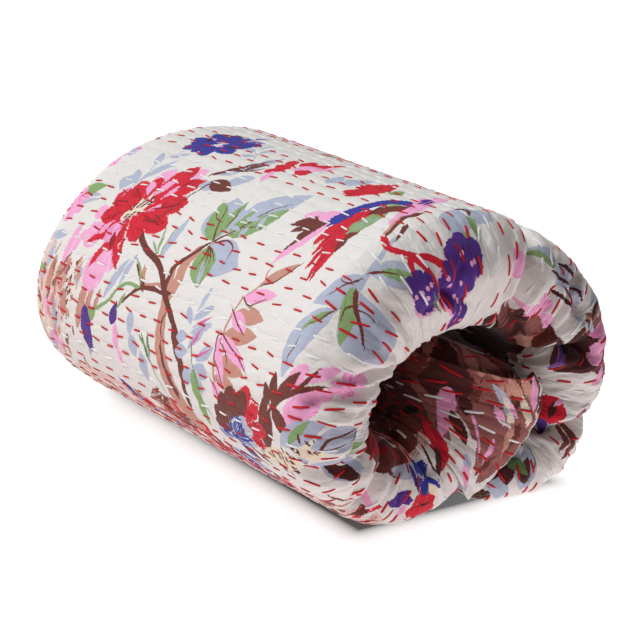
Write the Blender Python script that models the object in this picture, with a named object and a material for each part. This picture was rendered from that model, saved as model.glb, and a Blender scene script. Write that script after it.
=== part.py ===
"""A kantha quilt, folded into a thick strip and rolled up.

The roll lies on the floor along X, with the end that shows its folds at +X. One solid is
the wound strip, carried along a spiral from its outer end on the floor round to the core.
A second solid is the loose corner of cloth that lies over the core at the +X end.
Metres, +Z up, origin under the middle of the roll, on the floor.
"""

import math

import bpy
import numpy as np
from mathutils import Matrix

# Driving sizes, in metres
ROLL_LENGTH = 0.400
LIP_DEPTH_NEAR = 0.034      # how far the folded edge bulges past the flat of the strip
LIP_DEPTH_FAR = 0.036
FAR_WIDTH = 1.143           # the far end against the near one, across
FAR_HEIGHT = 0.960          # and in height
ROW_PITCH = 0.0118          # between two rows of running stitch
ROW_RISE = 0.0011           # how far the cloth puffs up between two rows
OUTER_END_ROUND = 0.016     # rounding of the strip's two ends
CORE_END_ROUND = 0.030
END_SLIVER = 0.12           # share of its thickness that the strip keeps at its very end
END_SET_BACK = 0.8          # how far the lips draw back there, for each metre of rounding
FLOOR_PRESS = 0.0025        # how far the underside is pressed flat

SHEET_THICK = 0.0032        # one thickness of quilt
SHEET_GAP = 0.00035
SHEET_HEM_EXTRA = 0.0012    # the turned hem is thicker than the cloth
HEM_WIDTH = 0.010
CORNER_LOW = 0.566          # along the strip, where the loose corner's lower edge lies
CORNER_STOP = 0.010         # and how far short of the strip's inner end it stops
FLARE = 0.011               # how far its hemmed edges stand off the core
FLARE_WIDTH = 0.026
FLARE_OUT = 0.35            # share of that away from the core, and along the roll
FLARE_ALONG = 0.95

# Grid of the wound strip: columns round the strip, with the lips' evenly spaced
FACE_COLUMNS = 6
NEAR_LIP_COLUMNS = 14
FAR_LIP_COLUMNS = 6
CORNER_FACE_COLUMNS = 2     # of the inner face, that the loose corner covers
ROW_STEPS = 2               # steps along the strip for each row of stitches

# Middle line of the folded strip at the +X end, from the outer end on the floor round
# to the core, in millimetres:
# across, height, thickness of the strip, how far its lip stands back from the end, and
# how far the lip leans: its outer side forward and its inner side back
STRIP_PATH = (
    (14, 15, 26, 18, 0),        # outer end, tucked against the bottom turn
    (42, 24, 46, 9, 0),
    (70, 31, 56, 5, 0),         # lower right
    (91, 53, 60, 6, 0),
    (103, 89, 66, 6, 0),        # right side
    (98, 122, 70, 2, 0),
    (79, 150, 74, 2, 0),        # right shoulder
    (47, 174, 78, 0, 0),
    (9, 186, 86, 0, 0),         # top
    (-36, 183, 88, 0, 0),
    (-73, 161, 82, 0, 0),       # left shoulder
    (-100, 126, 72, 0, 0),
    (-106, 86, 62, 3, 0),       # left side
    (-86, 55, 60, 7, 0),
    (-52, 34, 64, 10, 0),       # bottom turn
    (-19, 41, 64, 11, 4),
    (5, 60, 64, 14, 16),
    (19, 86, 70, 17, 30),       # core
    (25, 119, 66, 20, 34),
)

# Creases in the folded edge, each a line on the cloth. Along the strip and round it from
# the lip's crest (plus towards the outside), both in metres: start, end, depth, half width
CREASES = (
    (0.070, -0.045, 0.118, 0.062, 0.020, 0.0075),   # between lower right and right side
    (0.172, -0.052, 0.150, 0.006, 0.024, 0.0080),   # between right side and shoulder
    (0.234, -0.045, 0.238, 0.070, 0.012, 0.0070),   # between shoulder and top
    (0.188, -0.035, 0.184, 0.012, 0.010, 0.0075),   # inside the shoulder's two folds
    (0.184, 0.012, 0.212, 0.034, 0.009, 0.0080),
    (0.396, -0.040, 0.420, 0.030, 0.007, 0.0080),   # left shoulder
    (0.470, -0.030, 0.460, 0.040, 0.006, 0.0080),   # left side
    (0.492, -0.045, 0.498, 0.022, 0.009, 0.0075),
    (0.545, -0.055, 0.550, -0.010, 0.006, 0.0070),  # bottom turn, into the hollow
)


def catmull_rom(rows, steps):
    """Points on the smooth curve through the rows: a Catmull-Rom cubic between each two."""
    rows = np.vstack([2 * rows[0] - rows[1], rows, 2 * rows[-1] - rows[-2]])
    spans = len(rows) - 3
    t = np.linspace(0, spans, steps)
    i = np.minimum(t.astype(int), spans - 1)
    u = (t - i)[:, None]
    a, b, c, d = rows[i], rows[i + 1], rows[i + 2], rows[i + 3]
    return 0.5 * (2 * b + (c - a) * u + (2 * a - 5 * b + 4 * c - d) * u ** 2
                  + (3 * b - a - 3 * c + d) * u ** 3)


def eased(rows, width):
    """Each column averaged over a sliding window, so that the bends have no kinks."""
    weights = np.hanning(width + 2)[1:-1]
    weights /= weights.sum()
    pad = width // 2
    rows = np.vstack([2 * rows[:1] - rows[pad:0:-1], rows,
                      2 * rows[-1:] - rows[-2:-pad - 2:-1]])
    return np.stack([np.convolve(column, weights, "valid") for column in rows.T], 1)


def running_length(points):
    """Distance walked along a row of points, from the first one."""
    steps = np.linalg.norm(np.diff(points, axis=0), axis=1)
    return np.concatenate([[0.0], np.cumsum(steps)])


def lookup(values, along, columns):
    """Each column read at the given values of the distance along the strip."""
    return np.stack([np.interp(values, along, column) for column in columns.T], -1)


class Strip:
    """The folded strip's middle line, its outward side and its lengths."""

    def __init__(self):
        fine_steps, ease = 2000, 121
        line = eased(catmull_rom(np.array(STRIP_PATH) * 0.001, fine_steps), ease)
        self.along = running_length(line[:, :2])
        self.length = self.along[-1]
        self.line = line
        heading = np.gradient(line[:, :2], self.along, axis=0)
        heading /= np.linalg.norm(heading, axis=1)[:, None]
        self.outward = np.stack([heading[:, 1], -heading[:, 0]], 1)
        outer = line[:, :2] + self.outward * line[:, 2:3] / 2
        self.outer_along = running_length(outer)

    def section(self, along):
        """The path's columns at places along the strip, and its outward side there."""
        line = lookup(along, self.along, self.line)
        outward = lookup(along, self.along, self.outward)
        return line, outward / np.linalg.norm(outward, axis=-1, keepdims=True)


def end_rounding(along, length):
    """Share of the thickness kept near the strip's two ends, and the lips' extra set-back:
    a quarter circle at each end."""
    share, back = np.ones_like(along), np.zeros_like(along)
    for distance, radius in ((along, OUTER_END_ROUND), (length - along, CORE_END_ROUND)):
        u = np.clip(distance / radius, 0.0, 1.0)
        arc = np.sqrt(np.maximum(1.0 - (1.0 - u) ** 2, 0.0))
        share = share * np.maximum(arc, END_SLIVER)
        back = back + END_SET_BACK * radius * (1.0 - arc)
    return share, back


def tapered(points):
    """The near end's section, widened and lowered evenly towards the far end."""
    far = 0.5 - points[..., 0] / ROLL_LENGTH
    points[..., 1] *= 1 + (FAR_WIDTH - 1) * far
    points[..., 2] *= 1 + (FAR_HEIGHT - 1) * far
    return points


def near_lip_arc(thickness):
    """Length of the near lip from its crest to the face: a quarter of an ellipse, taken
    as a quarter circle of the mean radius."""
    return (thickness / 2 + LIP_DEPTH_NEAR) / 2 * math.pi / 2


def strip_columns(strip, along):
    """Points of the closed loop round the strip for each place along it, with their
    distance round it from the near lip's crest."""
    line, outward = strip.section(along)
    share, back = end_rounding(along, strip.length)
    half_thick = line[:, 2] * share / 2
    lip_arc = near_lip_arc(line[:, 2])
    near = ROLL_LENGTH / 2 - line[:, 3] - LIP_DEPTH_NEAR - back
    lean = line[:, 4]
    far = -ROLL_LENGTH / 2 + LIP_DEPTH_FAR + back
    flat = near - far
    far_arc = (line[:, 2] / 2 + LIP_DEPTH_FAR) / 2 * math.pi / 2
    columns = []
    for t in np.arange(FACE_COLUMNS) / FACE_COLUMNS:
        columns.append((far + (flat + lean) * t, half_thick, lip_arc + flat * (1 - t)))
    for t in np.arange(NEAR_LIP_COLUMNS) / NEAR_LIP_COLUMNS:
        a = math.pi / 2 * (1 - 2 * t)
        columns.append((near + LIP_DEPTH_NEAR * math.cos(a) + lean * math.sin(a),
                        half_thick * math.sin(a), lip_arc * (1 - 2 * t)))
    for t in np.arange(FACE_COLUMNS) / FACE_COLUMNS:
        columns.append((near - lean - (flat - lean) * t, -half_thick, -lip_arc - flat * t))
    for t in np.arange(FAR_LIP_COLUMNS) / FAR_LIP_COLUMNS:
        a = -math.pi / 2 - math.pi * t
        side = -1 if t < 0.5 else 1
        reach = lip_arc + flat + far_arc * (1 - abs(1 - 2 * t))
        columns.append((far + LIP_DEPTH_FAR * math.cos(a), half_thick * math.sin(a),
                        side * reach))
    x, offset, around = (np.stack(part, 1) for part in zip(*columns))
    yz = line[:, None, :2] + outward[:, None, :] * offset[..., None]
    return tapered(np.concatenate([x[..., None], yz], -1)), around


def grid_normals(points, wraps):
    """Outward normals of a grid whose rows run along the strip and columns round it."""
    along = np.gradient(points, axis=0)
    if wraps:
        around = np.roll(points, -1, axis=1) - np.roll(points, 1, axis=1)
    else:
        around = np.gradient(points, axis=1)
    normal = np.cross(along, around)
    return normal / np.maximum(np.linalg.norm(normal, axis=-1, keepdims=True), 1e-12)


def crease_depth(along, around):
    """How far the creases push the cloth in: for each a bell-shaped trough about a line."""
    total = np.zeros_like(along)
    for along_a, around_a, along_b, around_b, depth, width in CREASES:
        run_along, run_around = along_b - along_a, around_b - around_a
        length_squared = run_along ** 2 + run_around ** 2
        t = (along - along_a) * run_along + (around - around_a) * run_around
        t = np.clip(t / length_squared, 0, 1)
        gap = np.hypot(along - along_a - t * run_along, around - around_a - t * run_around)
        total += depth * np.exp(-(gap / width) ** 2)
    return total


def relief(strip, along, around, covered):
    """Height of the cloth over the plain form: puffs between the stitch rows, less the
    creases, less the bed that the loose corner lies in."""
    row = np.interp(along, strip.along, strip.outer_along) / ROW_PITCH
    puff = ROW_RISE * (np.abs(np.sin(math.pi * row)) - 0.5)
    bed = SHEET_THICK + SHEET_GAP
    return np.where(covered, -bed, puff - crease_depth(along, around))


def new_object(name, points, faces, material, collection):
    """A mesh object at the origin, with smooth shading."""
    mesh = bpy.data.meshes.new(name)
    mesh.from_pydata(points.reshape(-1, 3).tolist(), [], faces)
    mesh.validate()
    mesh.shade_smooth()
    mesh.materials.append(material)
    item = bpy.data.objects.new(name, mesh)
    collection.objects.link(item)
    return item


def ring_faces(rows, columns):
    """Quads of a tube of closed loops."""
    faces = []
    for i in range(rows - 1):
        for j in range(columns):
            k = (j + 1) % columns
            faces.append((i * columns + j, (i + 1) * columns + j,
                          (i + 1) * columns + k, i * columns + k))
    return faces


def end_cap(first, flip):
    """Quads across the strip's end: each point of the outer face with the one across."""
    columns = 2 * FACE_COLUMNS + NEAR_LIP_COLUMNS + FAR_LIP_COLUMNS
    near_crest = FACE_COLUMNS + NEAR_LIP_COLUMNS // 2
    faces = []
    for k in range(columns // 2):
        a, b = near_crest - k, near_crest + k
        quad = [first + j % columns for j in (a, a - 1, b + 1, b)]
        if k == 0:
            quad = quad[:3]
        elif k == columns // 2 - 1:
            quad = [quad[0], quad[1], quad[3]]
        faces.append(tuple(reversed(quad)) if flip else tuple(quad))
    return faces


class ClothGrid:
    """The strip's loops at every half row of stitches, and the part of them that the loose
    corner covers."""

    def __init__(self, strip):
        rows = round(strip.outer_along[-1] / ROW_PITCH * ROW_STEPS)
        outer = np.linspace(0, strip.outer_along[-1], rows + 1)
        along = np.interp(outer, strip.outer_along, strip.along)
        self.points, self.around = strip_columns(strip, along)
        self.normals = grid_normals(self.points, True)
        self.along = np.repeat(along[:, None], self.around.shape[1], 1)
        self.rows = slice(np.searchsorted(along, CORNER_LOW),
                          np.searchsorted(along, strip.length - CORNER_STOP))
        last = FACE_COLUMNS + NEAR_LIP_COLUMNS + CORNER_FACE_COLUMNS + 1
        self.columns = slice(FACE_COLUMNS + 1, last)
        self.covered = np.zeros(self.around.shape, bool)
        self.covered[self.rows, self.columns] = True


def wound_strip(strip, grid, material, collection):
    """The roll: the strip's loops with their relief, closed at both ends."""
    height = relief(strip, grid.along, grid.around, grid.covered)
    height[0] = height[-1] = 0
    points = grid.points + grid.normals * height[..., None]
    points[..., 2] = np.maximum(points[..., 2] - FLOOR_PRESS, 0.0)
    count, columns = points.shape[:2]
    faces = ring_faces(count, columns) + end_cap(0, True)
    faces += end_cap((count - 1) * columns, False)
    return new_object("quilt_roll", points, faces, material, collection)


def loose_corner(grid, material, collection):
    """The quilt's corner over the core: a sheet in a shallow bed of the strip, flush with
    it, that stands off at its two hemmed edges."""
    patch = (grid.rows, grid.columns)
    base, normal = grid.points[patch], grid.normals[patch]
    rows, columns = base.shape[:2]
    to_end = running_length(base[:, columns // 2])
    to_end = (to_end[-1] - to_end)[:, None]
    to_rim = np.linalg.norm(np.diff(base, axis=1), axis=2)
    to_rim = np.concatenate([np.zeros((rows, 1)), np.cumsum(to_rim, 1)], 1)
    near_hem = np.maximum(1 - to_end / FLARE_WIDTH, 1 - to_rim / FLARE_WIDTH)
    lift = FLARE * np.maximum(near_hem, 0) ** 2
    hem = SHEET_HEM_EXTRA * (np.minimum(to_end, to_rim) < HEM_WIDTH)
    base = base + lift[..., None] * (normal * FLARE_OUT + np.array((FLARE_ALONG, 0, 0)))
    under = base - normal * SHEET_THICK
    over = base + normal * hem[..., None]
    points = np.concatenate([over, under])
    points[..., 2] = np.maximum(points[..., 2] - FLOOR_PRESS, 0.0)
    count = rows * columns
    faces = []
    for i in range(rows - 1):
        for j in range(columns - 1):
            k = i * columns + j
            quad = (k, k + columns, k + columns + 1, k + 1)
            faces += [quad, tuple(count + q for q in reversed(quad))]
    rim = list(range(columns))
    rim += [i * columns + columns - 1 for i in range(1, rows)]
    rim += [(rows - 1) * columns + j for j in range(columns - 2, -1, -1)]
    rim += [i * columns for i in range(rows - 2, 0, -1)]
    for p, q in zip(rim, rim[1:] + rim[:1]):
        faces.append((p, q, count + q, count + p))
    return new_object("loose_corner", points, faces, material, collection)


def cloth_material():
    """Printed cotton: a matt off-white ground."""
    material = bpy.data.materials.new("printed_cotton")
    material.use_nodes = True
    shader = material.node_tree.nodes["Principled BSDF"]
    shader.inputs["Base Color"].default_value = (0.80, 0.74, 0.71, 1.0)
    shader.inputs["Roughness"].default_value = 0.9
    shader.inputs["Metallic"].default_value = 0.0
    return material


def centre(items):
    """Moves the meshes so that the origin is under the middle of their common box."""
    corners = np.array([corner for item in items for corner in item.bound_box])
    middle = (corners.min(0) + corners.max(0)) / 2
    for item in items:
        item.data.transform(Matrix.Translation((-middle[0], -middle[1], 0)))


def build():
    for item in list(bpy.data.objects):
        bpy.data.objects.remove(item, do_unlink=True)
    collection = bpy.data.collections.new("kantha_quilt")
    bpy.context.scene.collection.children.link(collection)
    strip = Strip()
    cotton = cloth_material()
    grid = ClothGrid(strip)
    roll = wound_strip(strip, grid, cotton, collection)
    corner = loose_corner(grid, cotton, collection)
    centre([roll, corner])


build()
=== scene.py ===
import math

import bpy
import numpy as np
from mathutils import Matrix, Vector


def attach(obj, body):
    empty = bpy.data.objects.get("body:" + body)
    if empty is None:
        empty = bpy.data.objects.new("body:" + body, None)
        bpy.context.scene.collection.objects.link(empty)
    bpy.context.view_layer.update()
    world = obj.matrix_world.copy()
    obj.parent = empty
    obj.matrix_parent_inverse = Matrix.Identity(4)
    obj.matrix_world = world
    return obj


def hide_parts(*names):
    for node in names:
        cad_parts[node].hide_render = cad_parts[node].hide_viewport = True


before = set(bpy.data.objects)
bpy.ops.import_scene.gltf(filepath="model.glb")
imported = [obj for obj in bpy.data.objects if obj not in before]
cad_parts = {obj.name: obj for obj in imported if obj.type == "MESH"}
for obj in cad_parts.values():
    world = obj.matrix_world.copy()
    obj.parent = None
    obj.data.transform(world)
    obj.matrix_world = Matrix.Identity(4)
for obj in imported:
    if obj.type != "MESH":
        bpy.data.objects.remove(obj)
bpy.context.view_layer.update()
print("frame loaded:", sorted(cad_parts))


# The quilt, folded into a thick strip and wound up. The path is the strip's middle line
# at the +X end, in millimetres: across, height, thickness, lip's set-back, lip's lean.
quilt = {
    "length": 0.400, "nearLip": 0.034, "farLip": 0.036, "farWidth": 1.143, "farHeight": 0.960,
    "outerEndRound": 0.016, "coreEndRound": 0.030, "endSliver": 0.12, "endSetBack": 0.8,
    "floorPress": 0.0025, "shift": (-0.00178, 0.00123),
    "rowPitch": 0.0118, "rowRise": 0.0010, "fineSteps": 2000, "smoothing": 121,
    "rows": 400, "outerSteps": 108, "nearSteps": 68, "innerSteps": 24, "farSteps": 18,
    "innerSpread": 1.7,         # the inner face's columns crowd towards the near lip
    "path": (
        (14, 15, 26, 18, 0), (42, 24, 46, 9, 0), (70, 31, 56, 5, 0), (91, 53, 60, 6, 0),
        (103, 89, 66, 6, 0), (98, 122, 70, 2, 0), (79, 150, 74, 2, 0), (47, 174, 78, 0, 0),
        (9, 186, 86, 0, 0), (-36, 183, 88, 0, 0), (-73, 161, 82, 0, 0), (-100, 126, 72, 0, 0),
        (-106, 86, 62, 3, 0), (-86, 55, 60, 7, 0), (-52, 34, 64, 10, 0), (-19, 41, 64, 11, 4),
        (5, 60, 64, 14, 16), (19, 86, 70, 17, 30), (25, 119, 66, 20, 34)),
}

# Creases of the folded edge, lines on the cloth: from and to, each as (along the strip's
# middle line, round the strip from the lip's crest, plus outwards), then depth, half width
creases = (
    (0.070, -0.045, 0.118, 0.062, 0.022, 0.0052),
    (0.172, -0.052, 0.150, 0.006, 0.026, 0.0056),
    (0.234, -0.045, 0.238, 0.070, 0.013, 0.0052),
    (0.188, -0.035, 0.184, 0.012, 0.005, 0.0052),
    (0.184, 0.012, 0.212, 0.034, 0.006, 0.0055),
    (0.396, -0.040, 0.420, 0.030, 0.008, 0.0050),
    (0.470, -0.030, 0.460, 0.040, 0.007, 0.0050),
    (0.492, -0.045, 0.498, 0.022, 0.010, 0.0050),
    (0.545, -0.055, 0.550, -0.010, 0.006, 0.0050),
)


def smoothPath(rows, steps):
    # Catmull-Rom: a cubic through each two rows whose slopes point along their neighbours
    rows = np.vstack([2 * rows[0] - rows[1], rows, 2 * rows[-1] - rows[-2]])
    spans = len(rows) - 3
    t = np.linspace(0, spans, steps)
    i = np.minimum(t.astype(int), spans - 1)
    u = (t - i)[:, None]
    a, b, c, d = rows[i], rows[i + 1], rows[i + 2], rows[i + 3]
    return 0.5 * (2 * b + (c - a) * u + (2 * a - 5 * b + 4 * c - d) * u ** 2
                  + (3 * b - a - 3 * c + d) * u ** 3)


def eased(rows, width):
    # each column averaged over a sliding cosine window
    weights = np.hanning(width + 2)[1:-1]
    weights /= weights.sum()
    pad = width // 2
    rows = np.vstack([2 * rows[:1] - rows[pad:0:-1], rows, 2 * rows[-1:] - rows[-2:-pad - 2:-1]])
    return np.stack([np.convolve(column, weights, "valid") for column in rows.T], 1)


def walked(points):
    # distance walked along a row of points
    steps = np.linalg.norm(np.diff(points, axis=0), axis=1)
    return np.concatenate([[0.0], np.cumsum(steps)])


def softNoise(x, y, seed):
    # value noise: random numbers on a unit lattice, blended by 3t^2 - 2t^3 in each cell
    table = np.random.default_rng(seed).random((256, 256))
    i, j = np.floor(x).astype(int), np.floor(y).astype(int)
    u, v = x - i, y - j
    u, v = u * u * (3 - 2 * u), v * v * (3 - 2 * v)
    at = lambda p, q: table[p % 256, q % 256]
    low = at(i, j) * (1 - u) + at(i + 1, j) * u
    high = at(i, j + 1) * (1 - u) + at(i + 1, j + 1) * u
    return low * (1 - v) + high * v


def stripShape():
    # the middle line at fine steps, its outward side, and the length of its outer face
    line = smoothPath(np.array(quilt["path"]) * 0.001, quilt["fineSteps"])
    line = eased(line, quilt["smoothing"])
    along = walked(line[:, :2])
    heading = np.gradient(line[:, :2], along, axis=0)
    heading /= np.linalg.norm(heading, axis=1)[:, None]
    outward = np.stack([heading[:, 1], -heading[:, 0]], 1)
    outer = line[:, :2] + outward * line[:, 2:3] / 2
    return {"line": line, "along": along, "outward": outward, "outer": walked(outer)}


def lookup(values, along, columns):
    # every column read at the given distances along
    return np.stack([np.interp(values, along, column) for column in columns.T], -1)


def loopsRound(strip, along):
    # For each place along the strip, a closed loop: the outer face from the far end to the
    # near lip, half an ellipse, the inner face back, and half an ellipse at the far end.
    # Gives the points and their distance round from the near lip's crest.
    line = lookup(along, strip["along"], strip["line"])
    outward = lookup(along, strip["along"], strip["outward"])
    outward /= np.linalg.norm(outward, axis=-1, keepdims=True)
    share, back = np.ones_like(along), np.zeros_like(along)
    ends = ((along, quilt["outerEndRound"]), (strip["along"][-1] - along, quilt["coreEndRound"]))
    for distance, radius in ends:
        u = np.clip(distance / radius, 0, 1)
        arc = np.sqrt(np.maximum(1 - (1 - u) ** 2, 0))
        share = share * np.maximum(arc, quilt["endSliver"])
        back = back + quilt["endSetBack"] * radius * (1 - arc)
    half = (line[:, 2] * share / 2)[:, None]
    lipArc = ((line[:, 2] / 2 + quilt["nearLip"]) / 2 * math.pi / 2)[:, None]
    farArc = ((line[:, 2] / 2 + quilt["farLip"]) / 2 * math.pi / 2)[:, None]
    near = (quilt["length"] / 2 - line[:, 3] - quilt["nearLip"] - back)[:, None]
    far = (-quilt["length"] / 2 + quilt["farLip"] + back)[:, None]
    lean, flat = line[:, 4][:, None], near - far

    t = (np.arange(quilt["outerSteps"]) / quilt["outerSteps"])[None]
    outerFace = (far + (flat + lean) * t, half + 0 * t, lipArc + flat * (1 - t))
    t = (np.arange(quilt["nearSteps"]) / quilt["nearSteps"])[None]
    a = math.pi / 2 * (1 - 2 * t)
    nearLip = (near + quilt["nearLip"] * np.cos(a) + lean * np.sin(a), half * np.sin(a),
               lipArc * (1 - 2 * t))
    t = ((np.arange(quilt["innerSteps"]) / quilt["innerSteps"]) ** quilt["innerSpread"])[None]
    innerFace = (near - lean - (flat - lean) * t, -half + 0 * t, -lipArc - flat * t)
    t = (np.arange(quilt["farSteps"]) / quilt["farSteps"])[None]
    a = -math.pi / 2 - math.pi * t
    reach = lipArc + flat + farArc * (1 - np.abs(1 - 2 * t))
    farLip = (far + quilt["farLip"] * np.cos(a), half * np.sin(a),
              np.where(t < 0.5, -1, 1) * reach)

    x, offset, around = (np.concatenate(part, 1)
                         for part in zip(outerFace, nearLip, innerFace, farLip))
    yz = line[:, None, :2] + outward[:, None, :] * offset[..., None]
    points = np.concatenate([x[..., None], yz], -1)
    farShare = 0.5 - x / quilt["length"]
    points[..., 1] *= 1 + (quilt["farWidth"] - 1) * farShare
    points[..., 2] *= 1 + (quilt["farHeight"] - 1) * farShare
    return points, around


def gridNormals(points, wraps):
    # cross product of the steps along and round the cloth
    along = np.gradient(points, axis=0)
    if wraps:
        around = np.roll(points, -1, axis=1) - np.roll(points, 1, axis=1)
    else:
        around = np.gradient(points, axis=1)
    normal = np.cross(along, around)
    return normal / np.maximum(np.linalg.norm(normal, axis=-1, keepdims=True), 1e-12)


def creaseDepth(along, around, lines):
    # each crease is a bell-shaped trough: depth * exp(-(distance / half width)^2)
    total = np.zeros_like(along)
    for alongA, aroundA, alongB, aroundB, depth, width in lines:
        runAlong, runAround = alongB - alongA, aroundB - aroundA
        t = (along - alongA) * runAlong + (around - aroundA) * runAround
        t = np.clip(t / (runAlong ** 2 + runAround ** 2), 0, 1)
        gap = np.hypot(along - alongA - t * runAlong, around - aroundA - t * runAround)
        total += depth * np.exp(-(gap / width) ** 2)
    return total


# Lesser folds of the lips in millimetres: trough depth (a ridge if negative), half width,
# then the points of its line on the cloth's face as (along the strip, round it)
folds = (
    (9.0, 5.0, (314, 46), (319, 28), (324, 8), (323, -8), (319, -26)),
    (5.0, 8.0, (326, 4), (322, -10), (314, -22)),
    (9.0, 9.0, (342, -30), (318, -23), (292, -35), (262, -46)),
    (4.2, 16.0, (304, 34), (292, 4), (276, -26)),
    (-1.8, 7.0, (300, 24), (296, 2), (290, -14)),
    (1.8, 5.0, (364, 8), (362, -2), (350, -12)), (1.6, 4.0, (346, 30), (350, 18)),
    (2.0, 3.0, (345, -4), (338, -14), (326, -22)),
    (8.0, 3.6, (254, 44), (265, 14), (262, 2), (257, -16), (244, -38)),
    (9.5, 4.4, (203, -52), (205, -34), (208, -18), (212, -3), (211, 16), (214, 34)),
    (2.0, 3.2, (268, 0), (250, -28)), (1.6, 3.2, (300, 20), (288, 8), (276, 4)),
    (1.4, 3.0, (306, 30), (292, 26)), (1.5, 3.2, (300, -14), (284, -20), (270, -22)),
    (1.3, 2.8, (165, -40), (177, -18), (181, 10)), (1.4, 2.8, (147, -33), (159, -16), (164, 9)),
    (1.2, 2.6, (150, -22), (140, -2)), (1.2, 2.8, (196, -26), (192, -8), (196, 12)),
    (1.4, 2.8, (44, -32), (62, -24), (82, -17)), (1.4, 2.8, (20, -27), (32, -21), (46, -20)),
    (1.1, 2.8, (30, 8), (50, -1)), (1.2, 2.8, (96, -8), (84, 6), (70, 20)),
    (7.0, 4.4, (416, -5), (422, -2), (428, 1)), (3.8, 3.2, (421, -2), (428, 8), (431, 24)),
    (3.8, 3.4, (422, -2), (437, -5), (456, -6)), (3.2, 3.4, (420, -2), (404, -10), (382, -16)),
    (2.4, 3.0, (418, 0), (408, 10), (396, 18)),
    (-2.6, 7.0, (432, -10), (412, -12), (400, -20)),
    (-2.0, 7.0, (436, -16), (420, -16), (404, -24)),
    (2.4, 4.0, (485, -38), (480, -22), (476, -6)), (2.2, 4.0, (463, -38), (459, -12)),
    (2.0, 4.0, (441, -36), (442, -14)), (2.0, 4.0, (508, -34), (504, -10), (497, 8)),
    (1.4, 5.0, (514, 8), (500, 16)), (1.5, 4.0, (470, 4), (482, 16)),
    (9.0, 4.2, (552, 18), (546, 6), (538, -2), (528, -15), (506, -38)),
    (2.6, 5.0, (520, 0), (514, -4), (506, -14)), (-3.4, 8.0, (534, 20), (524, 2), (506, -18)),
    (-2.0, 6.0, (562, 16), (556, 2), (546, -12)), (1.6, 2.4, (567, 14), (560, 0), (552, -16)),
    (1.8, 3.4, (586, -2), (574, -10), (566, -22)),
    (5.5, 3.2, (600, -20), (632, -18), (650, -13), (662, -1), (671, 13), (684, 30)),
    (3.6, 3.0, (600, -6), (625, -3), (636, 5), (642, 20)),
    (-2.6, 4.4, (612, -12), (640, -10), (655, 4), (664, 22)), (-2.0, 6, (610, 4), (624, 10)),
    (4.6, 3.4, (705, -18), (702, 3), (704, 20)), (4.2, 3.4, (677, -14), (685, 8), (690, 25)),
    (-1.8, 5.0, (694, -10), (694, 14)),
    (3.0, 3.4, (721, -36), (714, -20), (718, -2)), (2.8, 3.8, (730, -2), (731, 20)),
    (2.8, 3.8, (752, 12), (744, 34)), (2.4, 3.8, (766, 2), (762, 22)),
    (2.2, 3.4, (803, -33), (800, -17), (800, -2)),
    (1.8, 3.4, (770, 6), (776, 24)),
)


def foldDepth(along, around, lines):
    # each line is a bell-shaped trough that fades out at both its ends: depth * sin(pi t)^0.5
    # * exp(-(distance / half width)^2), t being the share of the line that is behind
    total = np.zeros_like(along)
    x, y = along * 1000, around * 1000
    for depth, width, *points in lines:
        path = smoothPath(np.array(points, float), 6 * (len(points) - 1) + 1)
        steps, low, high = walked(path), path.min(0) - 3 * width, path.max(0) + 3 * width
        near = (x > low[0]) & (x < high[0]) & (y > low[1]) & (y < high[1])
        run = np.diff(path, axis=0)
        px, py = x[near][:, None] - path[:-1, 0], y[near][:, None] - path[:-1, 1]
        t = np.clip((px * run[:, 0] + py * run[:, 1]) / (run ** 2).sum(1), 0, 1)
        gap = np.hypot(px - t * run[:, 0], py - t * run[:, 1])
        best, pick = gap.argmin(1), np.arange(len(gap))
        share = (steps[best] + t[pick, best] * np.diff(steps)[best]) / steps[-1]
        fade = np.sin(math.pi * (0.06 + 0.88 * share)) ** 0.5
        total[near] += depth * 0.001 * fade * np.exp(-(gap[pick, best] / width) ** 2)
    return total


crumple = {
    # How much squarer the lip's outer side is: height, middle and reach round the strip,
    # where along the strip it starts and stops, and how softly.
    "square": (0.0058, 0.011, 0.019, 0.340, 0.620, 0.02),
    # Lumps that cross the folded edge, and smaller ones on them: length along and round
    # the strip, share, seed. The same for slight puckers on the long side.
    "lipRise": 0.0044, "lipReach": 0.042,
    "lipLumps": ((0.0092, 0.026, 1.0, 7), (0.0046, 0.013, 0.30, 8)),
    "sideRise": 0.0005, "sideLumps": ((0.020, 0.020, 1.0, 9), (0.007, 0.007, 0.5, 10)),
    "bend": (0.03, 0.35, 5),                    # sways the lumps: length, share, seed
    # Some puffs are fuller: lumps in a row, length round the strip, least, more, seed.
    "firm": (0.8, 0.012, 0.7, 0.6, 3),
    "puff": (0.55, 0.65),                       # share on the side, what the lip adds
}


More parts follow.
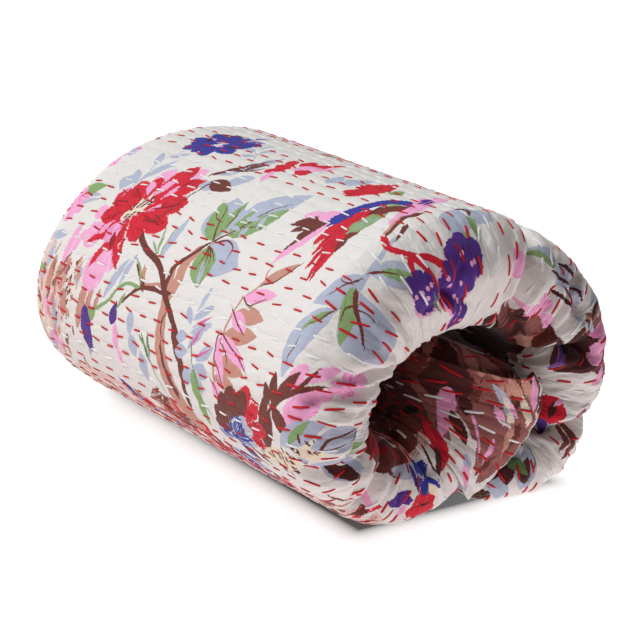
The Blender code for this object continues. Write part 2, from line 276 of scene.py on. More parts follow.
def clothRelief(outerLength, along, around, stretch):
    # puffs |sin| between the stitch rows, less the creases, plus wrinkles of soft noise
    row = outerLength / quilt["rowPitch"]
    perRow, wide, least, more, seed = crumple["firm"]
    firm = least + more * softNoise(row * perRow, around / wide, seed)
    lip = np.exp(-(around / crumple["lipReach"]) ** 2)
    onSide, onLip = crumple["puff"]
    puff = quilt["rowRise"] * (onSide + onLip * lip) * firm
    puff = puff * (np.abs(np.sin(math.pi * row)) - 0.5) * stretch
    length, share, seed = crumple["bend"]
    bend = share * softNoise(outerLength / length, around / length, seed)
    (long, wide, most, seed), (fine, fineWide, rest, fineSeed) = crumple["lipLumps"]
    wave = most * softNoise(outerLength / long + 3 * bend, around / wide, seed)
    wave = wave + rest * softNoise(along / fine + bend, around / fineWide, fineSeed) - 0.65
    side = sum(share * (softNoise(outerLength / long, around / wide, seed) - 0.5)
               for long, wide, share, seed in crumple["sideLumps"])
    rise, middle, reach, start, stop, blend = crumple["square"]
    square = rise * np.exp(-((around - middle) / reach) ** 2)
    square = square / (1 + np.exp((start - outerLength) / blend * 4))
    square = square / (1 + np.exp((outerLength - stop) / blend * 4))
    return (puff + square - creaseDepth(along, around, creases)
            - foldDepth(outerLength, around, folds)
            + crumple["lipRise"] * lip * wave + crumple["sideRise"] * side)


# The loose corner that lies over the core, hemmed on two edges
corner = {
    "low": 0.566, "stop": 0.010, "columnsOut": 5, "deep": 0.333, "thick": 0.0032,
    "gap": 0.00035, "flare": 0.011, "flareWidth": 0.026, "flareOut": 0.35,
    "flareAlong": 0.95, "rows": 90,
    # The hem's rise, width and slope, then a ridge along its seam: middle, width, share.
    "hem": (0.0012, 0.010, 0.0012), "seam": (0.003, 0.002, 0.5),
    "puff": 0.0010, "pucker": 0.0016,
    # Puckers: length along and round the strip, share, seed.
    "ripples": ((0.011, 0.030, 1.0, 15), (0.006, 0.012, 0.6, 16)),
    "folds": (
        (1.9, 2.6, (900, -8), (880, 8), (862, 24)), (1.6, 2.6, (910, -22), (888, -8), (870, 6)),
        (2.4, 3.0, (856, -36), (829, -29), (807, -18), (790, -6)),
        (1.5, 3.0, (838, -8), (824, 6), (812, 18)), (1.3, 2.8, (892, -34), (866, -22), (846, -16)),
        (-1.6, 4.0, (894, 2), (874, 16)), (-1.8, 5.0, (846, -22), (822, -14), (802, 0)),
        (1.4, 2.6, (784, -24), (776, -8), (774, 8)),
    ),
}

print("working out the wound strip")
strip = stripShape()
outerRows = np.linspace(0, strip["outer"][-1], quilt["rows"] + 1)
alongRows = np.interp(outerRows, strip["outer"], strip["along"])
plainPoints, aroundGrid = loopsRound(strip, alongRows)
plainNormals = gridNormals(plainPoints, True)
outerGrid = np.repeat(outerRows[:, None], aroundGrid.shape[1], 1)
alongGrid = np.repeat(alongRows[:, None], aroundGrid.shape[1], 1)
rowStep = np.linalg.norm(np.gradient(plainPoints, axis=0), axis=-1)
stretchGrid = np.clip(rowStep / (outerRows[1] - outerRows[0]), 0.2, 1.0)


def cornerSpan():
    # the rows and columns of the strip's own grid that the loose corner covers
    first = np.searchsorted(alongRows, corner["low"])
    last = np.searchsorted(alongRows, strip["along"][-1] - corner["stop"])
    left = quilt["outerSteps"] + corner["columnsOut"]
    depths = (np.arange(quilt["innerSteps"]) / quilt["innerSteps"]) ** quilt["innerSpread"]
    right = quilt["outerSteps"] + quilt["nearSteps"] + np.searchsorted(depths, corner["deep"])
    return slice(first, last), slice(left, right)


patch = cornerSpan()
height = clothRelief(outerGrid, alongGrid, aroundGrid, stretchGrid)
bed = np.zeros(height.shape, bool)
bed[patch] = True
height = np.where(bed, -(corner["thick"] + corner["gap"]), height)
height[0] = height[-1] = 0
rollPoints = plainPoints + plainNormals * height[..., None]
rollPoints[..., 2] = np.maximum(rollPoints[..., 2] - quilt["floorPress"], 0.0)
rollPoints[..., :2] += quilt["shift"]


# Colours of the print and the threads, as shown on a screen
inks = {
    "ground": (228, 221, 218), "red": (212, 30, 52), "darkRed": (150, 26, 42),
    "pink": (240, 166, 206), "hotPink": (214, 104, 162), "purple": (84, 44, 134),
    "darkPurple": (58, 30, 92), "violet": (116, 74, 162), "blue": (48, 60, 156),
    "green": (136, 164, 108), "deepGreen": (96, 128, 82),
    "brown": (112, 54, 46), "darkBrown": (78, 36, 34), "rose": (198, 142, 126),
    "mauve": (150, 92, 88), "lilac": (178, 182, 202), "cream": (234, 216, 194),
    # the dark rose on the next line is the rose and mauve print as it looks in shade: painted
    # shade, laid in hollows, recesses and undersides
    "blush": (222, 186, 178), "duskRose": (92, 44, 48), "black": (24, 18, 18),
    "redThread": (196, 22, 32), "whiteThread": (238, 236, 236),
}


def ink(name):
    # display value to light: ((c + 0.055) / 1.055)^2.4
    value = np.array(inks[name]) / 255
    return np.where(value < 0.04045, value / 12.92, ((value + 0.055) / 1.055) ** 2.4)


marks = []      # everything that is printed, in the order in which it is laid down


class Page:
    # a place on the cloth to draw at, in millimetres: x towards the near end, y against
    # the strip's run, turned by an angle
    def __init__(self, along, around, turn=0, size=1.0):
        self.x, self.y = -around * 1000, -along * 1000
        self.turn, self.size = turn, size

    def place(self, x, y):
        c, s = math.cos(math.radians(self.turn)), math.sin(math.radians(self.turn))
        x, y = x * self.size, y * self.size
        return self.x + x * c - y * s, self.y + x * s + y * c

    def part(self, x, y, turn=0, size=1.0):
        # a smaller page set on this one
        inner = Page(0, 0, self.turn + turn, self.size * size)
        inner.x, inner.y = self.place(x, y)
        return inner

    # Every mark has two inks, the second in streaks over the first (the larger streak is,
    # the more), and rag says how far its edge wanders.
    def blade(self, x, y, turn, length, width, inkA, inkB=None, rag=0.5, streak=0.0,
              shape=(0.9, 1.0), bend=0):
        # a leaf or petal from its foot: half width = w/2 * sin(pi * u^p)^q along its length
        x, y = self.place(x, y)
        marks.append({"kind": "blade", "x": x, "y": y, "turn": math.radians(self.turn + turn),
                      "length": length * self.size, "width": width * self.size,
                      "shape": shape, "bend": bend * self.size, "inkA": inkA,
                      "inkB": inkB or inkA, "rag": rag, "streak": streak, "round": 0.0})

    def leaf(self, *measures, **more):
        self.blade(*measures, shape=(0.85, 0.9), **more)

    def petal(self, *measures, **more):
        self.blade(*measures, shape=(1.55, 0.62), **more)

    def dot(self, x, y, radius, inkA, inkB=None, rag=0.4, streak=0.0):
        x, y = self.place(x, y)
        marks.append({"kind": "dot", "x": x, "y": y, "turn": 0.0,
                      "length": radius * self.size, "inkA": inkA, "inkB": inkB or inkA,
                      "rag": rag, "streak": streak, "round": 1.0})

    def stroke(self, points, widths, inkA, inkB=None, rag=0.5, streak=0.0):
        # a brush stroke through the points, its width changing evenly along it
        path = smoothPath(np.array([self.place(x, y) for x, y in points], float),
                          24 * (len(points) - 1) + 1)
        marks.append({"kind": "stroke", "path": path, "inkA": inkA, "inkB": inkB or inkA,
                      "widths": [w * self.size for w in widths], "rag": rag,
                      "streak": streak, "round": 0.0})


def blades(page, rows, inkA, inkB=None, rag=0.5, streak=0.0, shape=(0.9, 0.9)):
    # several blades: foot x and y, turn, length, width
    for row in rows:
        page.blade(*row, inkA, inkB, rag, streak, shape)


def strokes(page, colour, rag, *rows):
    # several strokes: width at the start and at the end, then the points
    for start, end, *points in rows:
        page.stroke(points, (start, end), colour, rag=rag)


def lay(*rows):
    # motifs set on the cloth: along it, round it, turn and size
    for motif, *place in rows:
        motif(Page(*place))


def peony(page):
    # pink petals behind, ragged red ones over them, a brown-flecked cream heart
    petal, brush = (1.55, 0.62), (1.0, 0.6)
    blades(page, ((-2, -24, 266, 50, 28), (-14, -20, 214, 30, 24), (-18, 6, 176, 20, 18),
           (-4, 14, 98, 30, 20), (14, 34, 60, 22, 14), (-28, -8, 200, 18, 14),
           (4, -30, 292, 26, 14)), "pink", "ground", 2.4, 0.22, petal)
    blades(page, ((4, 8, 80, 46, 21), (6, 8, 48, 46, 20), (4, 2, 22, 46, 22), (2, -2, -4, 46, 20),
           (0, -4, -34, 32, 18), (-2, -4, 272, 34, 20), (-4, -2, 238, 36, 17),
           (-4, 0, 206, 34, 20), (-4, 2, 172, 33, 22), (-4, 4, 140, 30, 17), (-2, 8, 110, 26, 15)),
           "red", "darkRed", 3.2, 0.24, petal)
    blades(page, ((0, -26, -46, 32, 7), (-4, -26, 250, 30, 7), (-14, -22, 222, 24, 6),
           (8, -22, -62, 26, 5), (28, 32, 52, 16, 6)), "red", "darkRed", 2.4, 0.3, brush)
    blades(page, ((-3, -8, 252, 26, 15), (3, 14, 78, 22, 9), (-4, 14, 128, 16, 8),
           (14, 14, 70, 18, 6), (-16, -14, 240, 16, 6), (12, 2, 40, 14, 5)), "pink", "hotPink",
           2.6, 0.26, petal)
    blades(page, ((14, 4, 24, 32, 2.6), (12, -2, -6, 30, 2.4), (16, -6, 12, 20, 3.2),
           (-6, -22, -60, 16, 6), (-14, -6, 215, 20, 2.2), (-16, 4, 190, 18, 2.0),
           (20, 26, 70, 18, 2.4), (-10, 10, 150, 16, 1.8)), "darkRed", "darkBrown", 1.0,
           shape=brush)
    page.blade(-10, -12, 54, 30, 11, "cream", "pink", 1.8, 0.2, shape=(1.0, 0.5))
    for i in range(22):
        u, v = (i * 0.618) % 1, (i * 0.414) % 1 - 0.5
        page.blade(-9 + 15 * u - 7 * v, -10 + 21 * u + 6 * v, 50 + 60 * v, 4.2, 2.0, "darkBrown",
                   shape=(1.0, 0.5))


def curl(x, y, turn, length, bend):
    # four points of a shallow arc from a foot, in page millimetres
    a = math.radians(turn)
    points = []
    for u in (0.0, 0.33, 0.67, 1.0):
        v = bend * 4 * u * (1 - u)
        points.append((x + length * u * math.cos(a) - v * math.sin(a),
                       y + length * u * math.sin(a) + v * math.cos(a)))
    return points


def leafCluster(page):
    # four broad leaves at the end of the tree's right-hand branch
    page.leaf(0, 2, 116, 44, 37, "lilac", rag=0.6)
    blades(page, ((0, 2, 130, 42, 19), (0, 2, 96, 41, 9)), "green", "deepGreen", 1.8, 0.14,
           (0.75, 0.8))
    strokes(page, "brown", 0.8, (2.0, 0.8, (0, 4), (-8, 14), (-12, 22), (-18, 32)),
            (1.4, 0.6, (-10, 18), (-18, 20), (-22, 24)), (1.4, 0.6, (2, 18), (0, 26), (-4, 34)))
    page.leaf(10, 10, 61, 66, 35, "lilac", rag=0.6, bend=2)
    page.blade(10, 10, 50, 50, 17, "green", "deepGreen", 2.2, 0.16, shape=(0.8, 0.7), bend=-4)
    page.blade(10, 10, 84, 28, 8, "green", rag=1.8, shape=(0.8, 0.7))
    strokes(page, "brown", 0.9, (2.2, 1.0, (2, 2), (14, 16), (24, 36), (34, 50)),
            (1.6, 0.7, (20, 20), (30, 24), (38, 24)))
    page.leaf(2, -1, -12, 46, 32, "lilac", rag=0.6, bend=-3)
    page.stroke(((6, 2), (16, 6), (26, 3), (30, -6)), (2.0, 0.8), "brown", rag=0.7)
    page.leaf(1, -3, -62, 36, 24, "green", "deepGreen", 1.0, 0.12)
    page.blade(8, -14, -66, 22, 5, "lilac", rag=0.8, shape=(1.0, 0.5))
    for turn, length in ((-84, 18), (-62, 20), (-44, 18), (-30, 16)):
        page.stroke(curl(2, -3, turn, length, 1.5), (1.6, 0.6), "brown", rag=0.8)


def flyingBird(page):
    # a small bird of plain shape: streaked tail and body, blue back, green wing, pink head
    blades(page, ((2, 8, -82, 56, 25), (-6, 0, -92, 42, 10)), "red", "darkRed", 2.4, 0.34,
           (0.8, 0.5))
    blades(page, ((8, -26, -80, 44, 6), (13, -24, -83, 44, 5.5), (4, -28, -86, 34, 5),
           (-2, -24, -84, 26, 5)), "red", "darkRed", 1.6, 0.36, (0.7, 0.5))
    blades(page, ((11, -12, -70, 18, 9), (14, -26, -74, 16, 7)), "brown", "darkRed", 1.2, 0.3,
           (0.9, 0.7))
    page.petal(-14, -6, 214, 22, 14, "pink", rag=1.6)
    page.stroke(((11, -14), (12, 0), (7, 14), (4, 24)), (14, 9), "green", "lilac", 1.8, 0.22)
    page.stroke(((7, 10), (12, 18), (20, 26)), (14, 9), "brown", "darkRed", 1.8, 0.36)
    page.stroke(((-14, -14), (-12, 3), (-5, 22), (8, 30), (20, 30)), (13, 8), "blue", "purple",
                2.0, 0.34)
    page.stroke(((2, 2), (0, 12), (-2, 22)), (3, 1.5), "darkBrown", rag=1.2)
    page.stroke(((32, 2), (28, 12), (20, 32), (10, 44), (8, 56)), (9, 17), "pink", rag=1.2,
                streak=0.15)
    blades(page, ((14, 34, 110, 20, 4), (18, 36, 112, 16, 3.5), (8, 40, 100, 16, 4)), "purple",
           "darkBrown", 1.0, 0.3, (1.0, 0.5))
    strokes(page, "brown", 1.0, (4, 7, (43, -12), (38, -2), (33, 8), (34, 20)),
            (2, 5, (53, -11), (50, -4), (46, 2)))
    page.stroke(((40, -12), (35, -2), (30, 8)), (3, 2), "rose", rag=0.8)


def redTuft(page):
    # a bristly red flower head with its green cup
    for turn in range(132, 236, 10):
        page.blade(0, 0, turn, 26 + (turn * 7) % 9, 8, "red", "darkRed", 2.0, 0.3,
                   shape=(1.2, 0.6))
    page.petal(-2, 3, 20, 13, 14, "green", "deepGreen", 1.2, 0.2)


def brownFeather(page):
    # ragged brown leaf over a pink shadow
    page.leaf(6, 10, 258, 60, 13, "pink", rag=1.2, bend=3)
    page.petal(2, 6, 200, 26, 10, "pink", rag=1.4)
    blades(page, ((4, 4, 214, 34, 10), (4, 2, 228, 30, 10), (5, 0, 246, 26, 9),
           (3, -8, 252, 22, 6), (0, -20, 250, 18, 3)), "brown", "darkBrown", 2.0, 0.2, (0.9, 0.7))


def berries(page, radius, seed, shadow):
    # a lobed purple cluster with small pink lights, or the pink shadow behind it
    rng = np.random.default_rng(seed)
    lobes = [(0.70 * i + 0.4 * rng.random(), radius * (0.54 + 0.24 * rng.random()),
              radius * (0.30 + 0.12 * rng.random())) for i in range(9)]
    for i, (a, r, lobe) in enumerate(lobes):
        x, y = r * math.cos(a), r * math.sin(a)
        if shadow:
            page.dot(x + 1.8, y - 2.0, lobe, "pink", rag=2.0)
        else:
            page.dot(x, y, lobe, "purple", "darkPurple" if i % 3 else "blue", 2.0, 0.16)
    if not shadow:
        page.dot(0, 0, radius * 0.74, "purple", "darkPurple", 2.0, 0.2)
        for i in range(5):
            a, r = i * 2.2 + seed, radius * (0.15 + 0.6 * rng.random())
            page.dot(r * math.cos(a), r * math.sin(a), 1.7, "pink", "cream", 0.6, 0.2)


def berrySpray(page):
    # three clusters hung on thick red stems
    page.stroke(((-34, -14), (-24, -17), (-14, -11), (-6, -2), (0, 8)), (6, 2.6), "red", "darkRed",
                0.8, 0.2)
    page.stroke(((-10, -10), (-2, -6), (12, -2), (28, 2)), (5, 6), "red", "darkRed", 0.8, 0.25)
    page.stroke(((-9, -10), (-4, 2), (6, 12)), (4, 6), "red", "darkRed", 0.8, 0.2)
    page.stroke(((-9, -10), (-4, -15), (4, -18)), (5, 4), "red", "darkRed", 0.8)
    for shadow in (True, False):
        for x, y, radius, seed in ((5, 32, 18, 1), (20, 20, 17, 4), (14, -16, 15, 2),
                                   (44, 27, 14, 3)):
            berries(page.part(x, y), radius, seed, shadow)
    page.stroke(((20, -8), (24, -8), (28, -6)), (3, 2), "deepGreen", rag=1.0)


def greyBranch(page):
    # a long lilac stem with broad lilac leaves, two of them part green
    page.stroke(((-8, 34), (-2, 14), (1, -2), (2, -16), (-4, -36)), (3.4, 6), "lilac", rag=0.5)
    page.leaf(2, -1, 232, 42, 22, "lilac", rag=0.6, bend=3)
    strokes(page, "brown", 0.6, (2.0, 0.6, (-2, -6), (-8, -14), (-14, -24)),
            (1.6, 0.6, (-5, -11), (-11, -12), (-15, -10)))
    page.leaf(0, 4, 48, 40, 21, "lilac", rag=0.6, bend=-2)
    page.blade(6, 9, 42, 28, 9, "green", "deepGreen", 1.6, 0.14, shape=(0.8, 0.7))
    page.stroke(((2, 5), (8, 11), (14, 17)), (2.6, 1.0), "brown", rag=0.8)
    page.petal(0, -12, -42, 56, 42, "lilac", rag=0.6)
    page.blade(-1, -12, -70, 44, 12, "green", "deepGreen", 1.0, 0.1, shape=(0.7, 0.8), bend=2)
    page.stroke(((3, -14), (10, -24), (20, -34), (26, -44)), (4.0, 1.4), "brown", rag=0.8)
    strokes(page, "brown", 0.7, (1.8, 0.6, (10, -24), (18, -22), (24, -24)),
            (1.8, 0.6, (8, -22), (4, -28), (6, -36)))
    page.blade(-3, -32, 254, 60, 22, "lilac", rag=0.6, shape=(0.8, 0.7), bend=-6)
    page.blade(-4, -34, 232, 26, 6, "green", "deepGreen", 1.4, 0.1)
    strokes(page, "brown", 0.7, (1.6, 0.8, (-3, -34), (-8, -42), (-14, -48)),
            (0.9, 1.3, (-17, -62), (-18, -68), (-20, -74)))


def tree(page):
    # a two-toned trunk that forks into three branches
    page.stroke(((-6, 20), (-1, 6), (4, -6), (9, -27), (14, -44), (26, -64), (48, -92)), (7, 19),
                "rose", "mauve", 0.8, 0.12)
    page.stroke(((3, 0), (6, 14), (3, 28), (8, 40)), (11, 9), "rose", rag=0.8)
    page.stroke(((2, 2), (-12, 5), (-30, 1), (-38, 12)), (5, 5), "rose", rag=0.7)
    page.stroke(((-74, 40), (-62, 32), (-48, 26), (-28, 21), (-13, 12), (-2, 2), (14, -10),
                (26, -20), (34, -32), (41, -48), (50, -74)), (5.5, 5), "brown", "darkBrown", 0.8,
                0.06)
    page.blade(20, -16, -52, 42, 9, "brown", rag=1.0, shape=(1.1, 0.7))
    strokes(page, "brown", 0.8, (5, 2.8, (-4, 4), (-6, 14), (-6, 24), (3, 35), (12, 47)),
            (5, 2.6, (2, 2), (-10, 2), (-20, 1), (-33, -2), (-43, -10), (-49, -17)),
            (5, 2, (-30, -1), (-38, 6), (-50, 14)))
    page.stroke(((-36, 4), (-44, 12), (-54, 17)), (2.6, 1.4), "green", rag=0.6)
    page.stroke(((12, -36), (16, -46), (24, -58), (34, -70)), (2.2, 5.5), "brown", rag=1.0)
    page.stroke(((8, -14), (8, -22), (12, -30)), (1.8, 1.0), "brown", rag=0.8)
    page.stroke(((-36, -2), (-49, -2), (-60, -9), (-67, -20), (-80, -30)), (3, 3.4), "green",
                "deepGreen", 0.8, 0.1)
    page.petal(-56, -18, -94, 20, 11, "purple", "darkPurple", 0.8, 0.15)
    page.stroke(((-50, -14), (-53, -22)), (4, 2.4), "green", rag=0.6)
    page.leaf(-84, -30, -112, 16, 10, "green", rag=0.8)
    page.blade(-98, -32, -74, 40, 15, "purple", "darkPurple", 1.8, 0.2, shape=(1.0, 0.5))
    blades(page, ((-34, -20, -80, 20, 10), (-30, -38, -60, 20, 12), (-14, -48, -70, 26, 12)),
           "lilac", rag=0.6)
    blades(page, ((2, -56, 128, 30, 3.4), (0, -50, 112, 22, 3.4), (-6, -44, 146, 16, 2.6)),
           "deepGreen", "green", 0.9, 0.3)
    page.stroke(((2, -56), (12, -68), (24, -82)), (1.4, 0.8), "green", rag=0.5)
    blades(page, ((-52, -34, -80, 26, 9), (-46, -54, -70, 18, 6)), "pink", rag=1.6)
    blades(page, ((-34, 26, 118, 26, 3), (-30, 24, 100, 30, 2.4), (-34, 26, 150, 18, 2.4)),
           "green", "lilac", 0.9, 0.25)
    blades(page, ((-28, 24, 92, 40, 8), (-62, 16, 250, 40, 8), (-56, 22, 262, 30, 6)), "lilac",
           rag=0.7)


def thicket(page, seed, wide, tall, count, names):
    # the ground under the tree: close strokes in browns and reds
    rng = np.random.default_rng(seed)
    for _ in range(count):
        x, y = (rng.random(2) - 0.5) * (wide, tall)
        page.blade(x, y, 150 + 60 * (rng.random() - 0.5), 8 + 14 * rng.random(),
                   2.4 + 4 * rng.random(), names[rng.integers(len(names))],
                   names[rng.integers(len(names))], 2.2, 0.30 * rng.random(), shape=(0.9, 0.6),
                   bend=3 * (rng.random() - 0.5))


def foliage(page, seed, wide, tall, count, palette=("rose", "mauve", "pink", "brown"),
            size=1.0):
    # a thicket of short upright brush strokes
    rng = np.random.default_rng(seed)
    for i in range(count):
        x, y = (rng.random(2) - 0.5) * (wide, tall)
        page.blade(x, y, 90 + 60 * (rng.random() - 0.5), (12 + 16 * rng.random()) * size,
                   (4 + 7 * rng.random()) * size, palette[i % len(palette)],
                   palette[(i + 1) % len(palette)], 2.2, 0.3 * rng.random(), shape=(0.9, 0.5))


def roseSpray(page):
    # rose-tan leaves and sharp pink petals on a bent stem
    page.stroke(((7, 24), (10, 14), (0, 0), (-3, -12), (-4, -30), (-6, -46), (-3, -62), (4, -80)),
                (1.6, 3.0), "rose", rag=0.5)
    blades(page, ((8, 12, 46, 36, 10), (0, -11, 2, 33, 14), (-4, -30, 12, 39, 15),
           (-4, -48, -6, 36, 15), (-3, -62, -2, 26, 12)), "rose", rag=0.7)
    page.stroke(((12, 14), (22, 20), (32, 36)), (1.6, 1.0), "brown", rag=0.5)
    blades(page, ((0, 0, 18, 34, 12), (-4, -12, -24, 26, 12), (-6, -30, -24, 44, 11),
           (-9, -32, -62, 40, 10), (-6, -66, -40, 22, 9)), "pink", "hotPink", 0.8, 0.08)
    for points in (((0, 0), (10, -4), (22, 4)), ((-4, -11), (6, -18), (18, -24)),
                   ((-6, -29), (10, -36), (20, -40), (32, -48)),
                   ((-9, -32), (-6, -48), (2, -56), (9, -67)), ((-2, -36), (6, -42), (10, -48)),
                   ((-6, -66), (0, -70), (6, -80))):
        page.stroke(points, (1.4, 1.0), "brown", rag=0.7)


def blossoms(page):
    # pale lilac petals in loose flowers on a thin stem, with two green leaves
    blades(page, ((-12, 24, 80, 22, 5), (-14, 18, 40, 24, 7), (-12, 8, 30, 26, 7),
           (-14, 14, 130, 16, 8), (-14, 6, 200, 14, 10), (-10, -4, 60, 28, 9),
           (-10, -6, 190, 16, 12), (2, -10, 40, 24, 10), (0, -14, -10, 20, 13),
           (-2, -16, 240, 18, 12), (4, -18, -60, 18, 9)), "lilac", "ground", 0.9, 0.12, (1.2, 0.7))
    blades(page, ((-12, 12, 36, 24, 3), (-8, -2, 62, 24, 4), (0, -8, 34, 22, 3.4)), "hotPink",
           "lilac", 1.0, 0.4)
    page.leaf(0, -16, -72, 30, 11, "green", rag=0.8)
    page.leaf(8, -30, -78, 32, 9, "green", "deepGreen", 0.9, 0.1)
    page.stroke(((-6, 0), (-2, -12), (6, -24), (10, -34)), (1.2, 1.0), "deepGreen", rag=0.6)
    page.stroke(((6, -26), (14, -40), (24, -50)), (1.2, 0.8), "green", rag=0.6)


def fern(page):
    # brown compound leaf over a loose pink bloom
    blades(page, ((12, 2, 20, 30, 18), (14, 0, -20, 28, 16), (16, 10, 70, 22, 12),
           (14, 4, -60, 20, 14), (10, 20, 50, 24, 10), (24, 24, 44, 30, 9), (22, 16, 10, 26, 12)),
           "pink", "hotPink", 2.2, 0.12, (1.4, 0.6))
    blades(page, ((0, 2, 98, 24, 10), (-4, 0, 118, 18, 9), (-8, 10, 262, 40, 10),
           (0, 0, -42, 28, 13), (-3, -2, -96, 34, 12), (-6, -16, -100, 26, 9), (2, 2, 58, 36, 11),
           (-4, -4, 236, 22, 9)), "brown", "darkBrown", 0.9, 0.08)
    strokes(page, "brown", 0.9, (6, 3.5, (0, 0), (10, 10), (22, 18), (38, 26)),
            (4, 2, (22, 18), (28, 28), (32, 36)))


def pinkBloom(page):
    # loose pink petals, some darker at their ends
    blades(page, ((0, 0, 20, 34, 15), (0, 0, 62, 24, 13), (0, 0, -20, 30, 14), (0, 0, -64, 22, 15),
           (0, 0, 200, 22, 15), (0, 0, 150, 16, 10), (0, 0, 250, 20, 12)), "pink", "hotPink", 2.2,
           0.28, (1.4, 0.6))


def rosette(page):
    # a stylised bloom: brown fan, red fringe, lilac ring, blue tuft
    blades(page, ((-4, 2, 60, 34, 16), (2, 2, 38, 30, 14), (6, -2, 12, 28, 14),
           (6, -4, -14, 24, 12)), "red", "darkRed", 4.5, 0.3, (1.5, 0.4))
    blades(page, ((-6, -4, 66, 34, 17), (-8, -4, 92, 31, 17), (-8, -6, 118, 28, 17),
           (-10, -8, 146, 24, 15), (-12, -10, 174, 20, 13)), "brown", "darkRed", 1.2, 0.06,
           (1.5, 0.4))
    blades(page, ((-8, -8, 40, 24, 10), (-6, -8, 14, 24, 11), (-6, -10, -12, 24, 10)), "lilac",
           "ground", 1.6, 0.2, (1.4, 0.6))
    blades(page, ((-10, -10, 150, 18, 8), (-10, -10, 110, 16, 8), (-8, -8, 60, 14, 8),
           (-8, -10, 26, 16, 8)), "brown", "pink", 1.8, 0.2, (1.3, 0.6))
    blades(page, ((-14, -16, 50, 26, 15), (-14, -16, 10, 28, 11), (-14, -18, 170, 18, 9),
           (-8, -20, -30, 22, 7), (-6, -16, 100, 14, 7)), "blue", "ground", 3.0, 0.3, (1.2, 0.6))
    blades(page, ((0, -20, -40, 24, 4), (4, -16, -30, 30, 3)), "brown", "lilac", 1.0)


def longLeaf(page):
    # a dark brown leaf edged with lilac
    page.leaf(0, 0, 0, 50, 24, "lilac", rag=0.6, bend=4)
    page.leaf(4, 0, -6, 40, 14, "darkBrown", "brown", 1.4, 0.1, bend=3)
    page.blade(12, 2, 8, 22, 3, "ground", rag=0.8)


def leafDisc(page):
    # a round lilac leaf with an open brown one drawn in it
    page.petal(-14, -4, 20, 36, 28, "lilac", rag=0.8)
    strokes(page, "brown", 0.6, (2.4, 1.6, (-8, -6), (-2, 4), (8, 8), (16, 10)),
            (2.0, 1.4, (-8, -6), (2, -4), (12, 0), (18, 8)))
    page.leaf(8, -20, 20, 20, 11, "green", "darkBrown", 1.0, 0.25)


def freckles(page, seed, wide, tall, count):
    # brown ticks scattered on a cream patch
    rng = np.random.default_rng(seed)
    page.petal(-wide * 0.5, 0, 8, wide * 1.1, tall * 0.8, "cream", rag=2.0)
    for _ in range(count):
        x, y = (rng.random(2) - 0.5) * (wide, tall)
        page.blade(x, y, 110 + 40 * rng.random(), 4 + 6 * rng.random(), 2.6, "brown", rag=2.0)


def budStem(page):
    # a red bud in a green leaf, over lilac shadows
    blades(page, ((16, 8, 190, 60, 8), (20, 6, 205, 50, 5), (4, 0, 250, 20, 6)), "lilac", rag=0.7)
    page.leaf(-14, 2, 30, 30, 14, "green", rag=0.9)
    blades(page, ((4, 2, 190, 26, 13), (-6, -8, 200, 16, 7)), "red", "pink", 1.6, 0.2, (1.2, 0.6))
    page.petal(2, -10, 230, 16, 10, "pink", rag=1.2)


def paleSprig(page):
    # lilac shadow leaves on a thin stalk
    page.stroke(((0, -26), (4, -6), (2, 14), (10, 34)), (1.6, 0.8), "lilac", rag=0.4)
    blades(page, ((2, -14, 130, 22, 9), (4, -4, 40, 26, 8), (2, 10, 118, 20, 9),
           (6, 22, 30, 20, 7)), "lilac", rag=0.5)


def brownSprig(page):
    # a twig of lilac leaves with brown ribs
    blades(page, ((-20, -8, 20, 28, 14), (-18, 8, 44, 24, 12), (-8, 14, 70, 36, 14),
           (2, 2, 40, 24, 15), (-2, 26, 84, 28, 10)), "lilac", rag=0.7)
    page.leaf(-14, 0, -6, 32, 14, "brown", "darkBrown", 1.2)
    page.stroke(((-20, 8), (-14, 16), (-8, 26), (-2, 40)), (5, 2.4), "brown", rag=1.6)
    page.stroke(((-12, 18), (-2, 20), (8, 28)), (4, 1.6), "brown", rag=1.4)
    page.leaf(-4, 22, 66, 18, 7, "brown", "deepGreen", 1.2, 0.2)
    page.stroke(((-30, -50), (-20, -34), (-16, -20), (-12, -4)), (1.2, 1.8), "brown", rag=1.8)


def blueBloom(page):
    # a full blue and purple bloom, spread along a twig
    blades(page, ((0, 2, 184, 30, 14), (0, 4, 206, 26, 13), (0, 6, 158, 32, 14),
           (0, 8, 128, 24, 15), (2, 8, 92, 20, 15), (4, 8, 58, 22, 15), (4, 4, 24, 26, 15),
           (4, 0, -10, 28, 15), (0, -2, -50, 22, 14), (-2, -2, -96, 17, 12), (-6, -2, 236, 20, 12),
           (10, 10, 36, 22, 13)), "blue", "purple", 3.2, 0.36, (1.2, 0.5))
    blades(page, ((-10, 0, 150, 14, 5), (10, 2, 10, 16, 5), (-4, -4, 262, 12, 4),
           (6, 10, 66, 14, 5)), "darkPurple", "violet", 2.0, 0.3)
    blades(page, ((-4, 2, 80, 8, 3), (2, -2, 20, 9, 3), (-12, 6, 160, 8, 3)), "pink", "violet",
           1.6, 0.3)
    page.stroke(((-26, 20), (-12, 24), (0, 30)), (2.8, 1.6), "brown", rag=1.2)
    blades(page, ((-2, 24, 60, 22, 6), (6, 20, 30, 22, 6)), "violet", "ground", 1.8, 0.35)


def redFlower(page):
    # a flat red flower round a pink heart
    blades(page, ((-2, -4, 236, 18, 11), (-6, 0, 140, 15, 11), (0, 4, 96, 16, 12),
           (4, 4, 56, 22, 12), (6, -2, -10, 18, 11), (0, -4, 186, 16, 11), (8, 10, 74, 26, 7)),
           "red", "darkRed", 2.6, 0.18, (1.2, 0.5))
    blades(page, ((2, -6, 60, 24, 11), (-6, -14, 300, 20, 8), (16, 0, 70, 24, 8)), "pink", rag=1.4)


